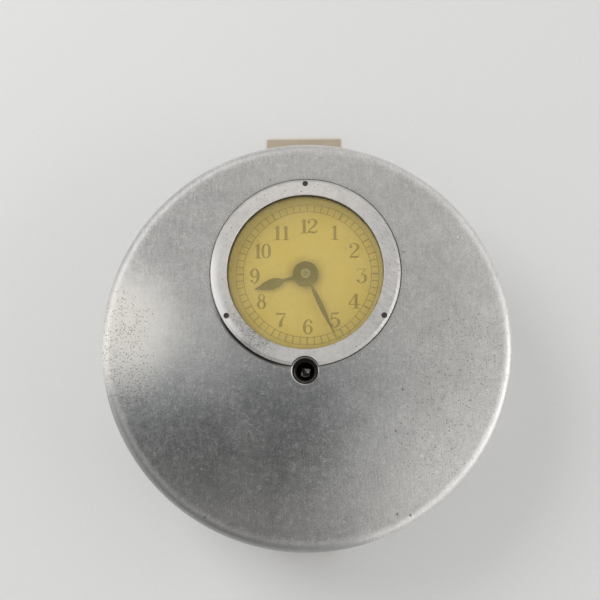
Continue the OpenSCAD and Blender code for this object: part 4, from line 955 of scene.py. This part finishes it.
# %% The pen
def pen_stroke(places, closed=False):
    """A flat ribbon along the pen's places, as a mesh."""
    bpy.ops.object.select_all(action="DESELECT")
    bpy.ops.curve.primitive_bezier_curve_add()
    pen = bpy.context.object
    pen.data.twist_mode = "Z_UP"
    pen.data.extrude = 0.5
    pen.data.resolution_u = 6
    line = pen.data.splines[0]
    line.bezier_points.add(len(places) - 2)
    line.use_cyclic_u = closed
    for spot, (x, y, width) in zip(line.bezier_points, places):
        spot.co = (x, y, 0)
        spot.handle_left_type = spot.handle_right_type = "AUTO"
        spot.radius = width
        spot.tilt = math.pi / 2
    bpy.ops.object.convert(target="MESH")
    return bpy.context.object


def thicken(piece, thickness):
    """Gives a flat piece a thickness, upwards and downwards."""
    alone(piece)
    made = piece.modifiers.new("ink", "SOLIDIFY")
    made.thickness = thickness
    made.offset = 0
    bpy.ops.object.modifier_apply(modifier="ink")


def joined(pieces, name):
    """Makes one object of several."""
    alone(pieces[0])
    for piece in pieces:
        piece.select_set(True)
    bpy.ops.object.join()
    bpy.context.object.name = name
    return bpy.context.object


# %% One block for each numeral
def unite(first, others):
    """Makes one closed piece of several that overlap; the first stays and the others go."""
    alone(first)
    for other in others:
        made = first.modifiers.new("union", "BOOLEAN")
        made.operation = "UNION"
        made.object = other
        bpy.ops.object.modifier_apply(modifier="union")
        bpy.data.objects.remove(other)


def numeral_block(sign):
    """A numeral that is 1 high and 1 thick, as one closed piece."""
    parts = [pen_stroke(row, sign in CLOSED_STROKES) for row in PEN_STROKES[sign]]
    if sign in PEN_BLOBS:
        x, y, r = PEN_BLOBS[sign]
        bpy.ops.mesh.primitive_circle_add(vertices=20, radius=r, fill_type="NGON", location=(x, y, 0))
        bpy.ops.object.transform_apply(location=True)
        parts.append(bpy.context.object)
    for part in parts:
        thicken(part, 1)
    unite(parts[0], parts[1:])
    parts[0].name = "block_" + sign
    return parts[0]


blocks = {sign: numeral_block(sign) for sign in PEN_STROKES}
print("numeral faces", {sign: len(block.data.polygons) for sign, block in blocks.items()})


# %% Stamping with the blocks
FIGURE_WIDTH = 1.16


def stamp(block, x, y, z, turn, width, height):
    """A copy of a block with its foot at x, y, in millimetres; turn is in degrees."""
    alone(block)
    bpy.ops.object.duplicate()
    copy = bpy.context.object
    copy.location = (x * MM, y * MM, z * MM)
    copy.rotation_euler = (0, 0, math.radians(turn))
    copy.scale = (width * MM, height * MM, INK_T * MM)
    bpy.ops.object.transform_apply(location=True, rotation=True, scale=True)
    return copy


def stamp_number(number, x, y, z, height, spread, turn=0.0):
    """A number of one or two figures, its middle at x, y; spread is from figure to figure."""
    signs = str(number)
    c, s = math.cos(math.radians(turn)), math.sin(math.radians(turn))
    made = []
    foot_x, foot_y = x + s * height / 2, y - c * height / 2
    for n, sign in enumerate(signs):
        aside = (n - (len(signs) - 1) / 2) * spread
        width = height if sign == "1" else height * FIGURE_WIDTH
        figure_x, figure_y = foot_x + c * aside, foot_y + s * aside
        made.append(stamp(blocks[sign], figure_x, figure_y, z, turn, width, height))
    return made


# %% Numbers of the dial
DIAL_TOP = 33.4
# The ring's radius across and up; the print is a little off the dial's middle
NUMBER_RING = (16.9, 16.2)
NUMBER_SHIFT = (0.75, -0.45)
NUMBER_H = 4.8
FIGURE_SPREAD = 2.65
DIAL_HOURS = 12
numbers = []
for hour in range(1, DIAL_HOURS + 1):
    angle = math.radians(90 - hour * 360 / DIAL_HOURS)
    x = DIAL_X + NUMBER_SHIFT[0] + NUMBER_RING[0] * math.cos(angle)
    y = DIAL_Y + NUMBER_SHIFT[1] + NUMBER_RING[1] * math.sin(angle)
    numbers += stamp_number(hour, x, y, DIAL_TOP + INK_T / 2, NUMBER_H, FIGURE_SPREAD)
dial_numbers = joined(numbers, "dial_numbers")
print("dial numbers", len(dial_numbers.data.polygons), "faces")


# %% Minute track
RING_SIDES = 180


def printed_ring(radius, width, x, y, z):
    """A thin printed circle; radius is its outer one, in millimetres."""
    bpy.ops.object.select_all(action="DESELECT")
    bpy.ops.mesh.primitive_circle_add(
        vertices=RING_SIDES, radius=radius * MM, fill_type="NGON",
        location=(x * MM, y * MM, z * MM),
    )
    ring = bpy.context.object
    bpy.ops.object.transform_apply(location=True)
    bpy.ops.object.mode_set(mode="EDIT")
    bpy.ops.mesh.select_all(action="SELECT")
    bpy.ops.mesh.inset(thickness=width * MM)
    bpy.ops.mesh.delete(type="FACE")
    bpy.ops.object.mode_set(mode="OBJECT")
    thicken(ring, INK_T * MM)
    return ring


def tick_block(length, width):
    """A tick from 0 to length up, 1 thick, a little wider at its outer end."""
    tick = pen_stroke(((0, 0, width * 0.9), (0, length * 0.5, width), (0, length, width * 1.05)))
    thicken(tick, 1)
    return tick


def stamp_tick(block, radius, angle, x, y, z):
    """A copy of a tick that starts at radius from x, y, at angle degrees."""
    turn = math.radians(angle)
    foot_x, foot_y = x + radius * math.cos(turn), y + radius * math.sin(turn)
    return stamp(block, foot_x, foot_y, z, angle - 90, 1, 1)


TRACK_OUTER_R = 22.58
TRACK_INNER_R = 20.25
TRACK_LINE = 0.2
TRACK_SHIFT = (0.5, 0.2)
MINUTES = 60
LONG_TICK_W, SHORT_TICK_W = 0.42, 0.26
print_z = DIAL_TOP + INK_T / 2
long_tick = tick_block(TRACK_OUTER_R - TRACK_INNER_R, LONG_TICK_W)
short_tick = tick_block(TRACK_OUTER_R - TRACK_INNER_R, SHORT_TICK_W)
track_x, track_y = DIAL_X + TRACK_SHIFT[0], DIAL_Y + TRACK_SHIFT[1]
track = [printed_ring(r + TRACK_LINE / 2, TRACK_LINE, track_x, track_y, print_z)
         for r in (TRACK_OUTER_R, TRACK_INNER_R)]
for minute in range(MINUTES):
    block = short_tick if minute % 5 else long_tick
    angle = 90 - minute * 360 / MINUTES
    track.append(stamp_tick(block, TRACK_INNER_R, angle, track_x, track_y, print_z))
minute_track = joined(track, "minute_track")
for piece in (dial_numbers, minute_track):
    piece.data.materials.clear()
    piece.data.materials.append(ink)
    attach(piece, "case")
print("minute track", len(minute_track.data.polygons), "faces")

# %% [markdown]
# ## Print on the chart
#
# The paper chart turns once in 24 hours, and each station key dents it. It is
# ruled with rings and hour lines, and numbered 1 to 12 twice. The print is on
# the side that faces the open cover. It is stamped as on the dial, and then
# turned over as one piece.

# %% Rings, hour lines and numbers of the chart
CHART_UNDER = 5.5
CHART_EDGE_R = 45.2
HOURS_INNER_R = 33.0
HALF_TICK, FINE_TICK = 2.4, 1.3
CHART_LINE = 0.2
# Outer radius and width of each ring
CHART_RINGS = [(CHART_EDGE_R, CHART_LINE), (40.5, 0.12), (HOURS_INNER_R, 0.16),
               (18, 0.16), (17.2, 0.10)]
HOURS = 24
TICKS_PER_HOUR = 12
CHART_NUMBER_R = 36.8
CHART_NUMBER_H = 3.6
CHART_SPREAD = 2.1
chart_z = -(CHART_UNDER - INK_T / 2)
hour_line = tick_block(CHART_EDGE_R - HOURS_INNER_R, 0.16)
half_tick = tick_block(HALF_TICK, 0.13)
fine_tick = tick_block(FINE_TICK, 0.10)
marks = [printed_ring(radius, width, 0, 0, chart_z) for radius, width in CHART_RINGS]
for step in range(HOURS * TICKS_PER_HOUR):
    angle = 90 - step * 360 / (HOURS * TICKS_PER_HOUR)
    block, start = fine_tick, CHART_EDGE_R - FINE_TICK
    if step % TICKS_PER_HOUR == 0:
        block, start = hour_line, HOURS_INNER_R
    elif step % (TICKS_PER_HOUR // 2) == 0:
        block, start = half_tick, CHART_EDGE_R - HALF_TICK
    marks.append(stamp_tick(block, start - CHART_LINE / 2, angle, 0, 0, chart_z))
for hour in range(HOURS):
    turn = -(hour + 0.5) * 360 / HOURS
    angle = math.radians(90 + turn)
    x, y = CHART_NUMBER_R * math.cos(angle), CHART_NUMBER_R * math.sin(angle)
    number = hour % DIAL_HOURS + 1
    marks += stamp_number(number, x, y, chart_z, CHART_NUMBER_H, CHART_SPREAD, turn)
chart_print = joined(marks, "chart_print")
print(HOURS, "hours of", TICKS_PER_HOUR, "ticks on the chart")

# %% Turned over to face the cover
alone(chart_print)
chart_print.rotation_euler = (0, math.pi, 0)
bpy.ops.object.transform_apply(rotation=True)
chart_print.data.materials.clear()
chart_print.data.materials.append(ink)
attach(chart_print, "chart")
for block in (*blocks.values(), long_tick, short_tick, hour_line, half_tick, fine_tick):
    bpy.data.objects.remove(block)
print("chart print", len(chart_print.data.polygons), "faces")

# %% [markdown]
# ## Lever spring
#
# The leaf spring beside the marking lever bends when a key swings the lever
# down on it. It is spun from its section and set on its post, in place of the
# construction's spring, which is hidden.

# %% Leaf and post
LEAF_X, LEAF_Y, LEAF_R = 0, -22, 5
LEAF_TURN = 170
LEAF_T = 0.4
LEAF_STEPS = 44
POST_R = 2
low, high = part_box("lever_spring")
leaf_from, leaf_to = 17.2 * MM, 18.6 * MM
bpy.ops.object.select_all(action="DESELECT")
bpy.ops.mesh.primitive_plane_add(
    size=1,
    location=(LEAF_X * MM, (LEAF_Y - LEAF_R) * MM, (leaf_from + leaf_to) / 2),
    rotation=(0, math.pi / 2, 0),
)
leaf = bpy.context.object
leaf.scale = (leaf_to - leaf_from, LEAF_T * MM, 1)
bpy.ops.object.transform_apply(location=True, rotation=True, scale=True)
bpy.ops.object.mode_set(mode="EDIT")
bpy.ops.mesh.select_all(action="SELECT")
bpy.ops.mesh.spin(
    steps=LEAF_STEPS, angle=-math.radians(LEAF_TURN),
    center=(LEAF_X * MM, LEAF_Y * MM, 0), axis=(0, 0, 1),
)
bpy.ops.mesh.select_all(action="SELECT")
bpy.ops.mesh.normals_make_consistent(inside=False)
bpy.ops.object.mode_set(mode="OBJECT")
bpy.ops.mesh.primitive_cylinder_add(
    vertices=36, radius=POST_R * MM, depth=high[2] - low[2],
    location=(LEAF_X * MM, (LEAF_Y - LEAF_R) * MM, (low[2] + high[2]) / 2),
)
post = bpy.context.object
bpy.ops.object.transform_apply(location=True)
unite(post, [leaf])
post.name = "lever_spring_leaf"
bpy.ops.object.shade_smooth_by_angle(angle=math.radians(35))
post.data.materials.clear()
post.data.materials.append(blued_steel)
print("lever spring", len(post.data.polygons), "faces", [round(v / MM, 2) for v in post.dimensions])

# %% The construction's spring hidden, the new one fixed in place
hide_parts("lever_spring")
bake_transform(post)
